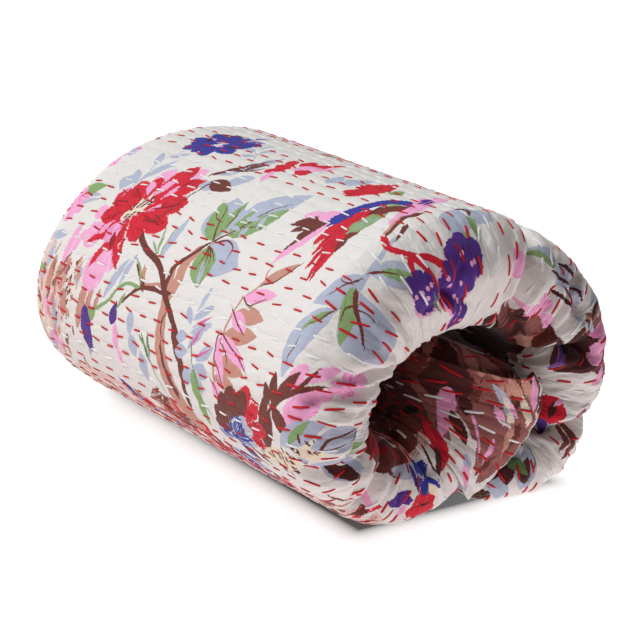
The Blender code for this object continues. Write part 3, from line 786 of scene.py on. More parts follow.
def brushwork(page, seed, wide, tall, count, names, turn=70):
    # broad patches of colour laid over each other
    rng = np.random.default_rng(seed)
    for i in range(count):
        x, y = (rng.random(2) - 0.5) * (wide, tall)
        page.blade(x, y, turn + 70 * (rng.random() - 0.5), 20 + 22 * rng.random(),
                   9 + 9 * rng.random(), names[i % len(names)], names[(i + 2) % len(names)], 2.2,
                   0.2 * rng.random(), shape=(0.9, 0.5), bend=6 * (rng.random() - 0.5))


warmGround = ("brown", "rose", "red", "ground", "darkRed", "mauve", "red", "rose", "ground")
tanGround = ("rose", "cream", "rose", "mauve", "ground", "rose", "brown", "ground")


def layFront():
    # the wide side, from the back of the design to its front
    band = Page(0.690, 0.180)
    blades(band, ((-190, 30, -4, 180, 60), (-60, 4, -6, 170, 70), (40, -8, -4, 120, 60)), "blush",
           "ground", 5.0, 0.3, (1.0, 0.4))
    thicket(Page(0.682, 0.300, 4), 25, 190, 56, 260, tanGround)
    thicket(Page(0.690, 0.170, -8), 21, 190, 58, 300, warmGround)
    thicket(Page(0.692, 0.070, -8), 22, 120, 44, 150, warmGround)
    leftSide = Page(0.582, 0.341)
    blades(leftSide, ((-50, -60, 92, 110, 34), (-28, -60, 84, 96, 26)), "blush", "ground", 4.0,
           0.3, (1.0, 0.4))
    blades(leftSide, ((-34, 0, 92, 32, 8), (-25, 6, 88, 26, 7), (-17, 6, 86, 28, 8),
           (14, -18, 84, 44, 10), (25, -12, 86, 34, 7), (35, -4, 82, 26, 5), (-8, -14, 96, 24, 9)),
           "rose", "mauve", 1.8, 0.16, (1.0, 0.4))
    blades(leftSide, ((-24, 28, 92, 36, 8), (-26, -52, 80, 24, 20), (-30, -20, 100, 20, 9),
           (-18, 36, 84, 24, 6)), "pink", "rose", 2.0, 0.1, (1.0, 0.5))
    blades(leftSide, ((2, 6, 84, 26, 9), (-20, -30, 96, 30, 7), (28, -40, 80, 30, 7)), "lilac",
           "mauve", 1.2, 0.2, (1.0, 0.6))
    foliage(leftSide.part(-18, -18), 11, 60, 100, 60, ("rose", "cream", "mauve", "rose"), 0.55)
    foliage(leftSide.part(-12, 6), 13, 28, 50, 26, ("darkBrown", "brown", "red"), 0.25)
    page = Page(0.639, 0.170)
    page.stroke(((-104, 4), (-86, -12), (-60, -22), (-40, -30)), (7, 5), "purple", "blue", 2.0,
                0.3)
    page.petal(-66, 4, -8, 50, 30, "rose", "blush", 3.0, 0.3)
    blades(page, ((-62, 2, 20, 30, 8), (-60, 4, -10, 30, 7), (-50, 0, 60, 16, 6),
           (-56, -6, -14, 34, 7), (-44, -2, -30, 34, 6), (-60, 8, 34, 20, 5)), "brown", "cream",
           2.6, 0.3, (1.2, 0.6))
    page.petal(-90, -14, 20, 20, 12, "red", rag=2.0)
    thicket(page.part(10, -22, -20), 26, 110, 24, 70, ("red", "darkRed", "brown", "red"))
    blades(page, ((30, -10, -20, 46, 6), (36, -20, -30, 40, 5), (40, -8, -14, 40, 4),
           (-10, -30, -24, 40, 4)), "blue", "lilac", 2.4, 0.4)
    lay((greyBranch, 0.476, 0.040), (tree, 0.546, 0.221), (leafCluster, 0.497, 0.207),
        (peony, 0.494, 0.315), (blossoms, 0.572, 0.164), (roseSpray, 0.525, 0.134),
        (brownFeather, 0.447, 0.124), (redTuft, 0.394, 0.126), (flyingBird, 0.429, 0.100),
        (redFlower, 0.403, 0.232), (blueBloom, 0.409, 0.336), (brownSprig, 0.449, 0.259),
        (budStem, 0.501, 0.386), (paleSprig, 0.462, 0.350, 10, 0.9))
    page = Page(0.470, 0.352)
    page.petal(-4, -14, 96, 16, 18, "lilac", rag=0.7)
    page.blade(6, -2, 70, 34, 8, "lilac", rag=0.6)
    paleSprig(Page(0.404, 0.290, 60, 0.7))
    page = Page(0.385, 0.050)
    blades(page, ((-8, -2, 60, 34, 26), (-10, 0, -20, 36, 24), (6, 4, 100, 26, 18)), "lilac",
           rag=0.8)
    page.stroke(((-12, 8), (-4, 12), (4, 6)), (4, 2), "brown", rag=0.8)
    blades(page, ((2, 8, -10, 22, 7), (16, -2, -24, 18, 5)), "green", rag=1.0)
    blades(Page(0.404, 0.172), ((0, 0, 60, 26, 18), (-6, -6, 110, 20, 14)), "lilac", "green", 1.2,
           0.1)
    berrySpray(Page(0.432, 0.020))
    fern(Page(0.589, 0.064))
    low = Page(0.610, 0.036)
    blades(low, ((-20, -6, 36, 48, 18), (-2, -22, 70, 24, 8)), "lilac", rag=0.8)
    low.leaf(-10, -2, 52, 28, 7, "green", "deepGreen", 1.2, 0.1)
    freckles(low.part(-30, -24), 6, 44, 26, 26)
    freckles(low.part(6, -8), 7, 22, 22, 10)
    leafDisc(low.part(22, 2))
    longLeaf(low.part(4, -18, -44))
    lay((rosette, 0.615, 0.106), (pinkBloom, 0.556, 0.012, 30, 0.6),
        (paleSprig, 0.470, 0.180, 150, 0.6))


def layLips():
    # the folds at the near end: shoulder, right side, lower right and bottom turn
    page = Page(0.341, 0.012)
    blades(page, ((-8, -6, 40, 22, 16),), "pink", "hotPink", 1.6, 0.2, (1.3, 0.6))
    page = Page(0.302, 0.024)
    page.leaf(-8, -14, 66, 32, 9, "green", "lilac", 0.8, 0.1)
    page.blade(-12, -14, 74, 44, 8, "lilac", rag=0.8)
    page = Page(0.270, 0.022)
    blades(page, ((-10, -12, 70, 26, 14), (-4, 4, 60, 26, 12), (2, -24, 80, 26, 14)), "lilac",
           "ground", 1.6, 0.24)
    blades(page, ((-12, -14, 78, 26, 3), (-4, 4, 70, 22, 2.6), (4, -26, 84, 26, 3),
           (10, -8, 76, 28, 3.4), (16, -18, 88, 24, 3)), "darkBrown", "brown", 1.2)
    pinkBloom(Page(0.281, -0.013, 20, 0.8))
    blades(Page(0.290, -0.016), ((0, 0, -86, 24, 6), (8, 4, -80, 20, 5)), "pink", "hotPink", 1.2)
    # brown print under lip A's inner edge and on fold B's lower left, laid in dark brown and dark
    # rose to paint the shade there
    page = Page(0.296, -0.036)
    blades(page, ((2, -46, 84, 60, 20), (-4, 6, 76, 44, 18), (12, -40, 90, 90, 26)), "darkBrown",
           "duskRose", 3.0, 0.12, (1.0, 0.4))
    brushwork(page.part(-8, 4), 26, 22, 40, 12, ("brown", "darkBrown", "mauve"), 30)
    brushwork(Page(0.322, -0.034), 31, 26, 20, 6, ("brown", "mauve", "rose"), 20)
    brushwork(Page(0.262, -0.048), 32, 26, 40, 12, ("brown", "mauve", "rose"), 60)
    page = Page(0.250, -0.026)
    page.blade(-2, -12, 74, 34, 9, "cream", rag=1.6)
    page.blade(12, -10, 76, 34, 5, "pink", rag=1.2)
    page.blade(-12, -14, 78, 40, 4, "pink", rag=1.2)
    foliage(Page(0.228, 0.014), 35, 22, 24, 14, ("brown", "rose", "pink", "mauve"))
    brushwork(Page(0.205, 0.000), 33, 60, 20, 18, ("darkBrown", "brown", "darkBrown", "mauve"),
              180)
    brushwork(Page(0.212, 0.040), 36, 50, 30, 12, ("brown", "mauve", "rose"), 120)
    foliage(Page(0.215, 0.008), 37, 30, 12, 5, ("pink", "hotPink"))
    brushwork(Page(0.222, 0.018), 39, 30, 34, 12, ("darkBrown", "brown", "lilac", "darkBrown"),
              150)
    brushwork(Page(0.196, 0.016), 34, 30, 34, 14, ("darkBrown", "brown", "darkBrown"), 170)
    brushwork(Page(0.200, -0.014), 30, 26, 30, 12, ("darkBrown", "black", "darkBrown"), 190)
    brushwork(Page(0.258, -0.028), 29, 24, 20, 9, ("darkBrown", "brown", "rose"), 70)
    brushwork(Page(0.204, 0.030), 27, 44, 34, 20, ("darkBrown", "brown", "mauve", "darkBrown"),
              160)
    blades(Page(0.232, 0.012), ((0, 0, 80, 24, 5), (8, -14, 96, 22, 4)), "lilac", "ground", 1.2,
           0.2)
    page = Page(0.191, -0.030)
    blades(page, ((-4, 0, 240, 18, 8), (2, -2, 200, 14, 6)), "violet", "pink", 1.2, 0.3)
    bloom = Page(0.127, -0.027)
    for turn in range(0, 360, 60):
        bloom.petal(0, 0, turn, 18, 17, "red", "darkRed", 1.4, 0.2)
    bloom.blade(-6, -13, 88, 24, 6, "darkBrown", rag=1.0)
    bloom.blade(-2, 14, 86, 20, 12, "purple", "darkPurple", 1.4, 0.1, shape=(1.0, 0.4))
    bloom.blade(-12, -16, 60, 12, 5, "pink", rag=1.4)
    blades(Page(0.129, 0.002), ((-6, -10, 80, 30, 9),), "mauve", "hotPink", 1.6, 0.3)
    blades(Page(0.100, 0.006), ((-4, -26, 86, 44, 8), (4, -16, 84, 30, 6)), "brown", "darkBrown",
           1.8, 0.1)
    page = Page(0.044, -0.006)
    page.leaf(-18, 10, -30, 44, 20, "lilac", rag=0.8, bend=3)
    page.leaf(-12, 8, -24, 24, 11, "darkBrown", "brown", 1.0, bend=3)
    page.stroke(((-8, 2), (4, -8), (14, -10)), (1.8, 1.2), "brown", rag=0.6)
    # a dark leaf print on the left part of the lower right fold, laid darker to paint the shade
    # that the core casts there
    brushwork(Page(0.004, 0.008), 28, 20, 30, 9, ("darkBrown", "deepGreen", "darkBrown"), 100)
    blades(Page(0.012, -0.006), ((-8, -10, 100, 26, 9), (4, -14, 84, 22, 7)), "darkBrown",
           "deepGreen", 1.8, 0.2)
    page = Page(0.020, -0.006)
    blades(page, ((-26, 0, 6, 40, 14), (0, -6, -30, 30, 12)), "lilac", rag=1.0)
    blades(page, ((-6, -4, -14, 40, 13), (4, 4, -50, 22, 9)), "darkBrown", "brown", 1.4, 0.1)
    page.leaf(20, -10, 200, 26, 9, "deepGreen", "brown", 1.4, 0.2)
    foliage(Page(0.110, 0.050), 38, 40, 40, 14, ("brown", "lilac", "brown", "rose"))
    leafCluster(Page(0.060, 0.060, 150, 0.7))
    # bottom turn
    turn = Page(0.740, -0.010)
    brushwork(turn.part(52, 10), 40, 50, 150, 44, ("darkBrown", "duskRose", "mauve", "brown"), 80)
    blades(turn, ((12, -4, 88, 104, 26), (18, 0, 92, 90, 20)), "brown", "darkBrown", 2.0, 0.12,
           (1.0, 0.3))
    blades(turn, ((12, 60, 80, 36, 14), (20, 44, 70, 34, 9), (28, 56, 40, 24, 8)), "darkRed",
           "red", 2.0, 0.2)
    blades(turn, ((30, -34, 100, 44, 13), (22, -22, 96, 24, 9)), "rose", "brown", 1.8, 0.1)
    blades(turn, ((50, -34, 96, 44, 12), (38, 8, 70, 30, 10), (60, -20, 100, 30, 10)), "hotPink",
           "purple", 1.8, 0.25)
    turn.blade(8, -22, 92, 66, 12, "lilac", rag=1.0, shape=(1.0, 0.5))
    bloom = turn.part(-25, -11, 0, 0.92)
    blades(bloom, ((0, 0, 96, 16, 15), (2, 0, 150, 20, 15), (0, 0, 196, 20, 15),
           (0, -2, 236, 24, 15), (2, -2, 282, 22, 14), (2, 0, 330, 16, 14), (2, 2, 30, 14, 14),
           (-2, -8, 250, 20, 10)), "red", "darkRed", 2.6, 0.16, (1.3, 0.5))
    blades(bloom, ((0, -2, 260, 14, 4), (0, 0, 150, 10, 3), (0, 0, 60, 10, 3)), "darkBrown",
           rag=1.4)
    blades(turn, ((-14, 2, 100, 30, 10), (-18, 4, 88, 24, 7), (-8, 6, 108, 22, 6)), "purple",
           "violet", 2.0, 0.2, (1.0, 0.5))
    blades(turn, ((-20, 6, 160, 18, 7), (-30, 40, 76, 22, 8)), "pink", "hotPink", 1.4)
    blue = turn.part(0, -18, 0, 0.82)
    blades(blue, ((-8, 8, 40, 28, 13), (-6, 0, 0, 24, 14), (-6, -4, 320, 24, 14),
           (-4, 0, 200, 18, 14), (-4, -4, 230, 20, 12), (-2, 8, 80, 16, 12), (2, 2, 150, 16, 10),
           (6, -8, 290, 14, 9)), "blue", "darkPurple", 3.2, 0.34, (1.2, 0.5))
    blades(blue, ((-14, 12, 20, 30, 6), (-10, 14, 10, 26, 5)), "darkPurple", "purple", 1.6, 0.2)
    blades(blue, ((-4, -2, 300, 10, 3), (4, 4, 230, 10, 3)), "lilac", rag=1.2)
    turn.blade(-8, -26, 200, 16, 8, "cream", rag=1.2)
    brushwork(Page(0.752, -0.072), 43, 44, 80, 26, ("darkBrown", "duskRose", "mauve"), 60)
    brushwork(Page(0.664, -0.050), 44, 34, 40, 14, ("brown", "duskRose", "mauve"), 80)


def layCorner():
    # the loose corner over the core, and the cloth beside it
    page = Page(0.855, -0.006)
    brushwork(Page(0.880, -0.110), 54, 80, 110, 34, ("darkBrown", "mauve", "brown", "darkBrown"),
              40)
    page.blade(24, -110, 92, 150, 110, "mauve", "brown", 3.0, 0.2, shape=(1.0, 0.2))
    brushwork(page.part(-20, -60), 51, 60, 40, 24, ("brown", "mauve", "rose"), 60)
    brushwork(page.part(24, -64), 52, 50, 50, 18, ("mauve", "brown", "mauve", "rose"), 40)
    brushwork(page.part(60, 0), 53, 50, 120, 40, ("darkBrown", "duskRose", "darkBrown", "brown"),
              80)
    brushwork(page.part(-62, -52), 57, 90, 40, 34, ("darkBrown", "brown", "duskRose"), 20)
    brushwork(page.part(-30, -52), 58, 40, 30, 12, ("brown", "mauve", "darkBrown"), 40)
    # the recess: mauve panel print and a black leaf, with the panel laid in dark rose and dark
    # brown to paint the recess's shade
    recessPrintAndShade = page.part(36, 16)
    recessPrintAndShade.petal(0, -34, 88, 98, 34, "duskRose", "darkBrown", 2.0, 0.12)
    recessPrintAndShade.leaf(-7, 3, 57, 38, 9, "black", rag=1.2)
    blades(page, ((18, -60, 100, 50, 22), (14, -48, 106, 34, 16), (24, -40, 96, 34, 14)),
           "darkBrown", "brown", 2.6, 0.08)
    blades(page, ((0, -66, 96, 34, 20), (-12, -56, 100, 34, 14), (34, -78, 84, 40, 16)), "mauve",
           "duskRose", 2.4, 0.16)
    blades(page, ((2, -60, 100, 20, 8), (-6, -48, 110, 24, 7), (-14, -42, 104, 18, 6)), "rose",
           "mauve", 1.8, 0.2)
    page.blade(-4, 22, 114, 70, 40, "ground", "blush", 1.6, 0.06, shape=(1.1, 0.4))
    page.blade(28, 50, 96, 36, 18, "blush", "mauve", 2.0, 0.3, shape=(1.0, 0.4))
    page.blade(10, 2, 110, 64, 17, "ground", rag=1.0, shape=(1.1, 0.4))
    page.blade(-6, -44, 102, 88, 22, "mauve", "brown", 1.4, 0.1, shape=(1.2, 0.6))
    page.blade(13, -25, 90, 66, 10.5, "pink", "hotPink", 1.6, 0.12, shape=(0.8, 0.5))
    page.stroke(((-2, 0), (-9, 17), (-17, 31)), (2.4, 1.2), "pink", rag=0.8)
    page.blade(10, 1, 116, 33, 10, "darkBrown", "brown", 1.2, shape=(1.0, 0.8), bend=-2)
    page.blade(5, -22, 98, 24, 8, "darkBrown", "brown", 1.8, shape=(1.0, 0.8))
    page.blade(25, 35, 129, 44, 16, "red", "darkRed", 1.4, 0.05, shape=(0.8, 0.7))
    page.stroke(((20, 72), (8, 76), (-6, 76)), (3.0, 1.6), "darkBrown", rag=1.0)
    page.blade(14, 52, 124, 34, 7, "darkBrown", "brown", 1.4, shape=(1.0, 0.6))
    page.blade(-36, -34, 90, 82, 24, "mauve", "brown", 1.6, 0.12, shape=(1.0, 0.6))
    blades(page, ((-34, -10, 96, 26, 8), (-30, 22, 84, 24, 7)), "brown", "duskRose", 1.8, 0.1)
    blades(page, ((-8, -38, 124, 40, 7), (-16, -26, 120, 26, 6), (-30, -30, 116, 26, 5)), "lilac",
           "ground", 1.8, 0.25)
    blades(page, ((-12, -18, 124, 20, 6), (-20, -24, 128, 16, 4), (-38, -46, 96, 26, 9),
           (-20, 10, 100, 26, 5)), "pink", "hotPink", 1.6, 0.15)
    blades(page, ((-22, -16, 118, 18, 6), (-26, -34, 120, 30, 6), (-34, -26, 110, 20, 5),
           (-14, -30, 122, 20, 3)), "cream", "ground", 1.8, 0.2)
    blades(page, ((-16, -44, 126, 24, 8), (-26, -46, 120, 22, 8), (-28, -8, 104, 30, 7)), "rose",
           "brown", 2.0, 0.1)
    blades(page, ((-6, 38, 140, 16, 9), (-26, 56, 150, 14, 7)), "lilac", "violet", 1.6, 0.2)
    blades(page, ((-10, 46, 150, 24, 8), (-34, 60, 120, 16, 8)), "pink", "hotPink", 1.8, 0.2)
    brushwork(Page(0.806, -0.048), 55, 26, 34, 12, ("darkBrown", "duskRose", "brown"), 80)


def layInside():
    # the faces that look into the hollow, and the cloth further in
    for i, along in enumerate(np.arange(0.03, 0.80, 0.06)):
        brushwork(Page(along, -0.080 - 0.010 * (i % 3)), 60 + i, 50, 60, 18,
                  ("brown", "mauve", "darkBrown", "rose", "brown", "pink"))
        foliage(Page(along, -0.17 - 0.02 * (i % 2)), 80 + i, 70, 60, 18)
    # the dark brown and dark rose blades here paint the hollow's shade onto the inner face; the
    # blossoms further round are print
    for along, around in ((0.200, -0.100), (0.230, -0.085), (0.262, -0.080), (0.300, -0.075)):
        page = Page(along, around)
        blades(page, ((-30, -14, 20, 66, 34), (-30, 12, -14, 70, 30)), "darkBrown", "duskRose",
               2.6, 0.06, (1.0, 0.3))
        blossoms(Page(along, -0.30, 120))


def layBack():
    # the design goes on over the top, down the far side and under the roll
    lay((tree, 0.170, 0.200, 8), (greyBranch, 0.120, 0.080, 10), (peony, 0.108, 0.300, 30),
        (leafCluster, 0.115, 0.190), (roseSpray, 0.165, 0.118), (blossoms, 0.205, 0.258))
    thicket(Page(0.262, 0.260), 23, 190, 40, 90, tanGround)
    lay((flyingBird, 0.040, 0.128), (blueBloom, 0.030, 0.330), (brownSprig, 0.062, 0.246),
        (berrySpray, 0.262, 0.140, 200, 0.9), (paleSprig, 0.330, 0.110, 70, 1.2),
        (rosette, 0.238, 0.100), (fern, 0.205, 0.052), (redFlower, 0.315, 0.340),
        (budStem, 0.345, 0.270, 200, 0.8), (paleSprig, 0.340, 0.190, 100))
    foliage(Page(0.215, 0.372), 12, 60, 80, 34)
    lay((redTuft, 0.018, 0.210, 40), (pinkBloom, 0.060, 0.080), (pinkBloom, 0.455, 0.420))
    foliage(Page(0.330, 0.410), 14, 50, 50, 18)
    for i, along in enumerate(np.arange(0.03, 0.90, 0.10)):
        paleSprig(Page(along, 0.405, 50 * i))
        roseSpray(Page(along + 0.04, -0.400, 90 + 30 * i, 0.8))
    for i, along in enumerate(np.arange(0.05, 0.92, 0.070)):
        bunch = (leafCluster, pinkBloom, budStem, redTuft, blossoms)[i % 5]
        bunch(Page(along, -0.385, 75 * i, 0.8))
        if along > 0.44:
            bunch(Page(along + 0.03, 0.395, 50 * i, 0.6))
    for i, around in enumerate((0.33, 0.22, 0.12)):
        foliage(Page(0.740, around), 90 + i, 80, 60, 24)
        lay((leafCluster, 0.800, around + 0.02, 120 * i, 0.8),
            (pinkBloom, 0.770, around - 0.03, 60 * i), (peony, 0.860, around + 0.04, 200 * i, 0.7))


# The print, its lengths in millimetres on the cloth
printing = {
    "layers": 8,                # marks that may lie over each other on one face
    "edge": 0.28,               # softness of a printed edge
    "outside": -9,              # half width where there is no mark
    "near": 4, "across": 6,     # how far a face's middle may lie from a mark, and its corners
    "slack": 0.4,               # a mark touches what lies this far past its edge
    "cover": 0.3,               # and hides what lies this far inside
}


def markPlaces(mark, along, around):
    # for corners of the cloth: distance along the mark, offset across, half width there
    x, y = -around * 1000, -along * 1000
    if mark["kind"] == "stroke":
        path, steps = mark["path"], walked(mark["path"])
        ax, ay = path[:-1, 0], path[:-1, 1]
        dx, dy = np.diff(path[:, 0]), np.diff(path[:, 1])
        px, py = x.reshape(-1, 1) - ax, y.reshape(-1, 1) - ay
        t = np.clip((px * dx + py * dy) / np.maximum(dx ** 2 + dy ** 2, 1e-9), 0, 1)
        gap = np.hypot(px - t * dx, py - t * dy)
        best = gap.argmin(1)
        pick = np.arange(len(best))
        side = np.sign(dx[best] * py[pick, best] - dy[best] * px[pick, best])
        s = steps[best] + t[pick, best] * np.diff(steps)[best]
        u = s / steps[-1]
        half = (mark["widths"][0] * (1 - u) + mark["widths"][1] * u) / 2
        v = side * gap[pick, best]
        return s.reshape(x.shape), v.reshape(x.shape), half.reshape(x.shape)
    c, s = math.cos(mark["turn"]), math.sin(mark["turn"])
    dx, dy = x - mark["x"], y - mark["y"]
    forward, across = dx * c + dy * s, dy * c - dx * s
    if mark["kind"] == "dot":
        return forward, across, np.full_like(forward, mark["length"])
    u = forward / mark["length"]
    inside = np.clip(u, 0, 1)
    p, q = mark["shape"]
    half = mark["width"] / 2 * np.sin(math.pi * inside ** p).clip(0) ** q
    half = half - np.abs(u - inside) * mark["length"]
    return forward, across - mark["bend"] * 4 * u * (1 - u), half


def markBox(mark):
    # middle and radius of a circle round the mark, in page millimetres
    if mark["kind"] == "stroke":
        low, high = mark["path"].min(0), mark["path"].max(0)
        return (low + high) / 2, np.linalg.norm(high - low) / 2 + max(mark["widths"])
    if mark["kind"] == "dot":
        return np.array((mark["x"], mark["y"])), mark["length"] + 1
    reach = mark["length"] / 2
    middle = np.array((mark["x"] + reach * math.cos(mark["turn"]),
                       mark["y"] + reach * math.sin(mark["turn"])))
    return middle, math.hypot(reach, mark["width"] / 2 + abs(mark["bend"])) + 2


def fullAttributes(mesh, name, domain, values, extra, filler):
    # an attribute with the values first and a filler for the faces that close the ends
    layer = mesh.attributes.new(name, "FLOAT_VECTOR", domain)
    tail = np.tile(np.array(filler, np.float32), (extra, 1))
    layer.data.foreach_set("vector", np.concatenate([values.reshape(-1, 3), tail]).ravel())


def printOn(mesh, along, around, ends=0):
    # Each face keeps a stack of the marks that cover it: the places of its four corners on
    # the mark, and the mark's inks and manner. A mark that hides the whole face empties the
    # stack, and a full stack loses its lowest mark. along, around: (faces, 4).
    faces, layers = len(along), printing["layers"]
    middle = np.stack([-around.mean(1), -along.mean(1)], 1) * 1000
    place = np.zeros((layers, faces, 4, 3), np.float32)
    place[..., 2] = printing["outside"]
    looks = np.zeros((layers, faces, 4, 3), np.float32)     # ink, second ink, manner, seed
    top = np.zeros(faces, int)
    lost = 0
    for number, mark in enumerate(marks):
        centre, radius = markBox(mark)
        near = np.flatnonzero(np.abs(middle - centre).max(1) < radius + printing["near"])
        if not len(near):
            continue
        s, v, half = markPlaces(mark, along[near], around[near])
        edge = half - np.hypot(v, s * mark["round"])
        crossing = (v.min(1) < 0) & (v.max(1) > 0) & (half > 0).any(1)
        crossing &= (np.abs(v).max(1) < printing["across"]) & (mark["round"] < 1)
        touched = (edge > -printing["slack"] - mark["rag"] / 2).any(1) | crossing
        use = near[touched]
        hides = (edge > mark["rag"] / 2 + printing["cover"]).all(1)[touched]
        if not len(use):
            continue
        place[:, use[hides], :, 2] = printing["outside"]
        top[use[hides]] = 0
        full = use[top[use] == layers]
        lost += len(full)
        place[:-1, full], looks[:-1, full] = place[1:, full], looks[1:, full]
        top[full] -= 1
        level = top[use]
        top[use] += 1
        place[level, use] = np.stack([s, v, half], -1)[touched]
        looks[level, use] = np.stack([
            ink(mark["inkA"]), ink(mark["inkB"]), (mark["rag"], mark["streak"], mark["round"]),
            ((number * 0.618) % 1 * 40, 0, 0)])
    for level in range(layers):
        for k, name in enumerate(("inkA", "inkB", "manner", "seed")):
            fullAttributes(mesh, f"{name}{level}", "FACE", looks[level, :, k], ends, (0, 0, 0))
        fullAttributes(mesh, f"place{level}", "CORNER", place[level], ends * 3,
                       (0, 0, printing["outside"]))
    print("printed:", mesh.name, "deepest", top.max(), "marks lost", lost)


def newMesh(name, points, quads, triangles=()):
    # a mesh from arrays, shaded smooth; triangles come after the quads
    mesh = bpy.data.meshes.new(name)
    corners = np.concatenate([np.ravel(quads), np.ravel(triangles)]).astype(np.int32)
    sizes = np.concatenate([np.full(len(quads), 4), np.full(len(triangles), 3)])
    starts = np.concatenate([[0], np.cumsum(sizes)[:-1]]).astype(np.int32)
    mesh.vertices.add(len(points))
    mesh.vertices.foreach_set("co", np.asarray(points, np.float32).ravel())
    mesh.loops.add(len(corners))
    mesh.loops.foreach_set("vertex_index", corners)
    mesh.polygons.add(len(sizes))
    mesh.polygons.foreach_set("loop_start", starts)
    mesh.update(calc_edges=True)
    mesh.shade_smooth()
    item = bpy.data.objects.new(name, mesh)
    bpy.context.scene.collection.objects.link(item)
    return item


def clothMap(mesh, along, around):
    # the cloth's own places in metres, as a UV map: u along the strip, v round it
    layer = mesh.uv_layers.new(name="cloth")
    layer.data.foreach_set("uv", np.stack([along, around], -1).astype(np.float32).ravel())


def ringQuads(rows, columns):
    # quads between neighbouring loops, wrapped round
    i, j = np.meshgrid(np.arange(rows - 1), np.arange(columns), indexing="ij")
    k = (j + 1) % columns
    return np.stack([i * columns + j, (i + 1) * columns + j, (i + 1) * columns + k,
                     i * columns + k], -1).reshape(-1, 4)


def zipCap(one, other):
    # triangles between two chains of points that share neither end
    faces, i, j = [], 0, 0
    while i < len(one) - 1 or j < len(other) - 1:
        ahead = (i + 1) / len(one) <= (j + 1) / len(other)
        if i < len(one) - 1 and (ahead or j == len(other) - 1):
            faces.append((one[i], one[i + 1], other[j]))
            i += 1
        else:
            faces.append((one[i], other[j + 1], other[j]))
            j += 1
    return faces


def endTriangles(first, columns, flip):
    # closes the thin end of the strip, from the far lip's crest to the near lip's
    farCrest = columns - quilt["farSteps"] // 2
    nearCrest = quilt["outerSteps"] + quilt["nearSteps"] // 2
    outer = [first + (farCrest + k) % columns
             for k in range((nearCrest - farCrest) % columns + 1)]
    inner = [first + j for j in range(farCrest - 1, nearCrest, -1)]
    faces = zipCap(outer, inner)
    return [face[::-1] for face in faces] if flip else faces


layFront()
layLips()
layCorner()
layInside()
layBack()
print("marks in the print:", len(marks))


def makeRoll():
    # the loops of the displaced strip joined into one closed skin, and printed all over
    rows, columns = rollPoints.shape[:2]
    quads = ringQuads(rows, columns)
    caps = endTriangles(0, columns, False) + endTriangles((rows - 1) * columns, columns, True)
    item = newMesh("quiltRoll", rollPoints.reshape(-1, 3), quads, caps)
    along, around = outerGrid.ravel()[quads], aroundGrid.ravel()[quads]
    crossing = np.ptp(around, axis=1) > 0.3
    around[crossing] = np.abs(around[crossing])
    capIndex = np.array(caps)
    clothMap(item.data, np.concatenate([along.ravel(), outerGrid.ravel()[capIndex].ravel()]),
             np.concatenate([around.ravel(), aroundGrid.ravel()[capIndex].ravel()]))
    printOn(item.data, along, around, len(caps))
    return item


def cornerSheet():
    # The loose corner: the strip's own surface at twice the rows, its upper face raised at
    # the hems and puckered, its two hemmed edges flared off the core.
    rows = np.linspace(outerRows[patch[0]][0], outerRows[patch[0]][-1], corner["rows"])
    alongs = np.interp(rows, strip["outer"], strip["along"])
    points, around = loopsRound(strip, alongs)
    normal = gridNormals(points, True)
    base, normal, around = (part[:, patch[1]] for part in (points, normal, around))
    toEnd = walked(base[:, base.shape[1] // 2])
    toEnd = (toEnd[-1] - toEnd)[:, None]
    toRim = np.linalg.norm(np.diff(base, axis=1), axis=2)
    toRim = np.concatenate([np.zeros((len(rows), 1)), np.cumsum(toRim, 1)], 1)
    nearHem = np.maximum(1 - toEnd / corner["flareWidth"], 1 - toRim / corner["flareWidth"])
    lift = corner["flare"] * np.maximum(nearHem, 0) ** 2
    away = normal * corner["flareOut"] + np.array((corner["flareAlong"], 0, 0))
    base = base + lift[..., None] * away
    rim = np.minimum(toEnd, toRim)
    (rise, width, slope), (seam, seamWidth, share) = corner["hem"], corner["seam"]
    hem = rise * (np.clip((width - rim) / slope, 0, 1)
                  + share * np.exp(-((rim - seam) / seamWidth) ** 2))
    a = np.repeat(rows[:, None], base.shape[1], 1)
    ripple = sum(part * softNoise(a / long, around / wide, seed)
                 for long, wide, part, seed in corner["ripples"])
    puff = corner["puff"] * np.abs(np.sin(math.pi * a / quilt["rowPitch"]))
    pucker = corner["pucker"] * (ripple - 0.5).clip(0)
    dip = foldDepth(a, around, corner["folds"])
    over = base + normal * (hem + puff + pucker - dip)[..., None]
    under = base - normal * corner["thick"]
    return over, under, a, around


def makeCorner():
    # upper and under face joined round their rim, and the upper face's own grid for sewing
    over, under, a, around = cornerSheet()
    rows, columns = a.shape
    count = rows * columns
    points = np.concatenate([over.reshape(-1, 3), under.reshape(-1, 3)])
    points[:, 2] = np.maximum(points[:, 2] - quilt["floorPress"], 0.0)
    points[:, :2] += quilt["shift"]
    i, j = np.meshgrid(np.arange(rows - 1), np.arange(columns - 1), indexing="ij")
    k = (i * columns + j).ravel()
    top = np.stack([k, k + columns, k + columns + 1, k + 1], 1)
    rim = np.concatenate([np.arange(columns), np.arange(1, rows) * columns + columns - 1,
                          (rows - 1) * columns + np.arange(columns - 2, -1, -1),
                          np.arange(rows - 2, 0, -1) * columns])
    ahead = np.roll(rim, -1)
    edge = np.stack([rim, ahead, count + ahead, count + rim], 1)
    quads = np.concatenate([top, count + top[:, ::-1], edge])
    item = newMesh("looseCorner", points, quads)
    flatA, flatB = np.tile(a.ravel(), 2), np.tile(around.ravel(), 2)
    faceAlong, faceAround = flatA[quads], flatB[quads]
    clothMap(item.data, faceAlong, faceAround)
    printOn(item.data, faceAlong, faceAround)
    top = over + np.array((*quilt["shift"], -quilt["floorPress"]))
    return item, top, a[:, 0], around


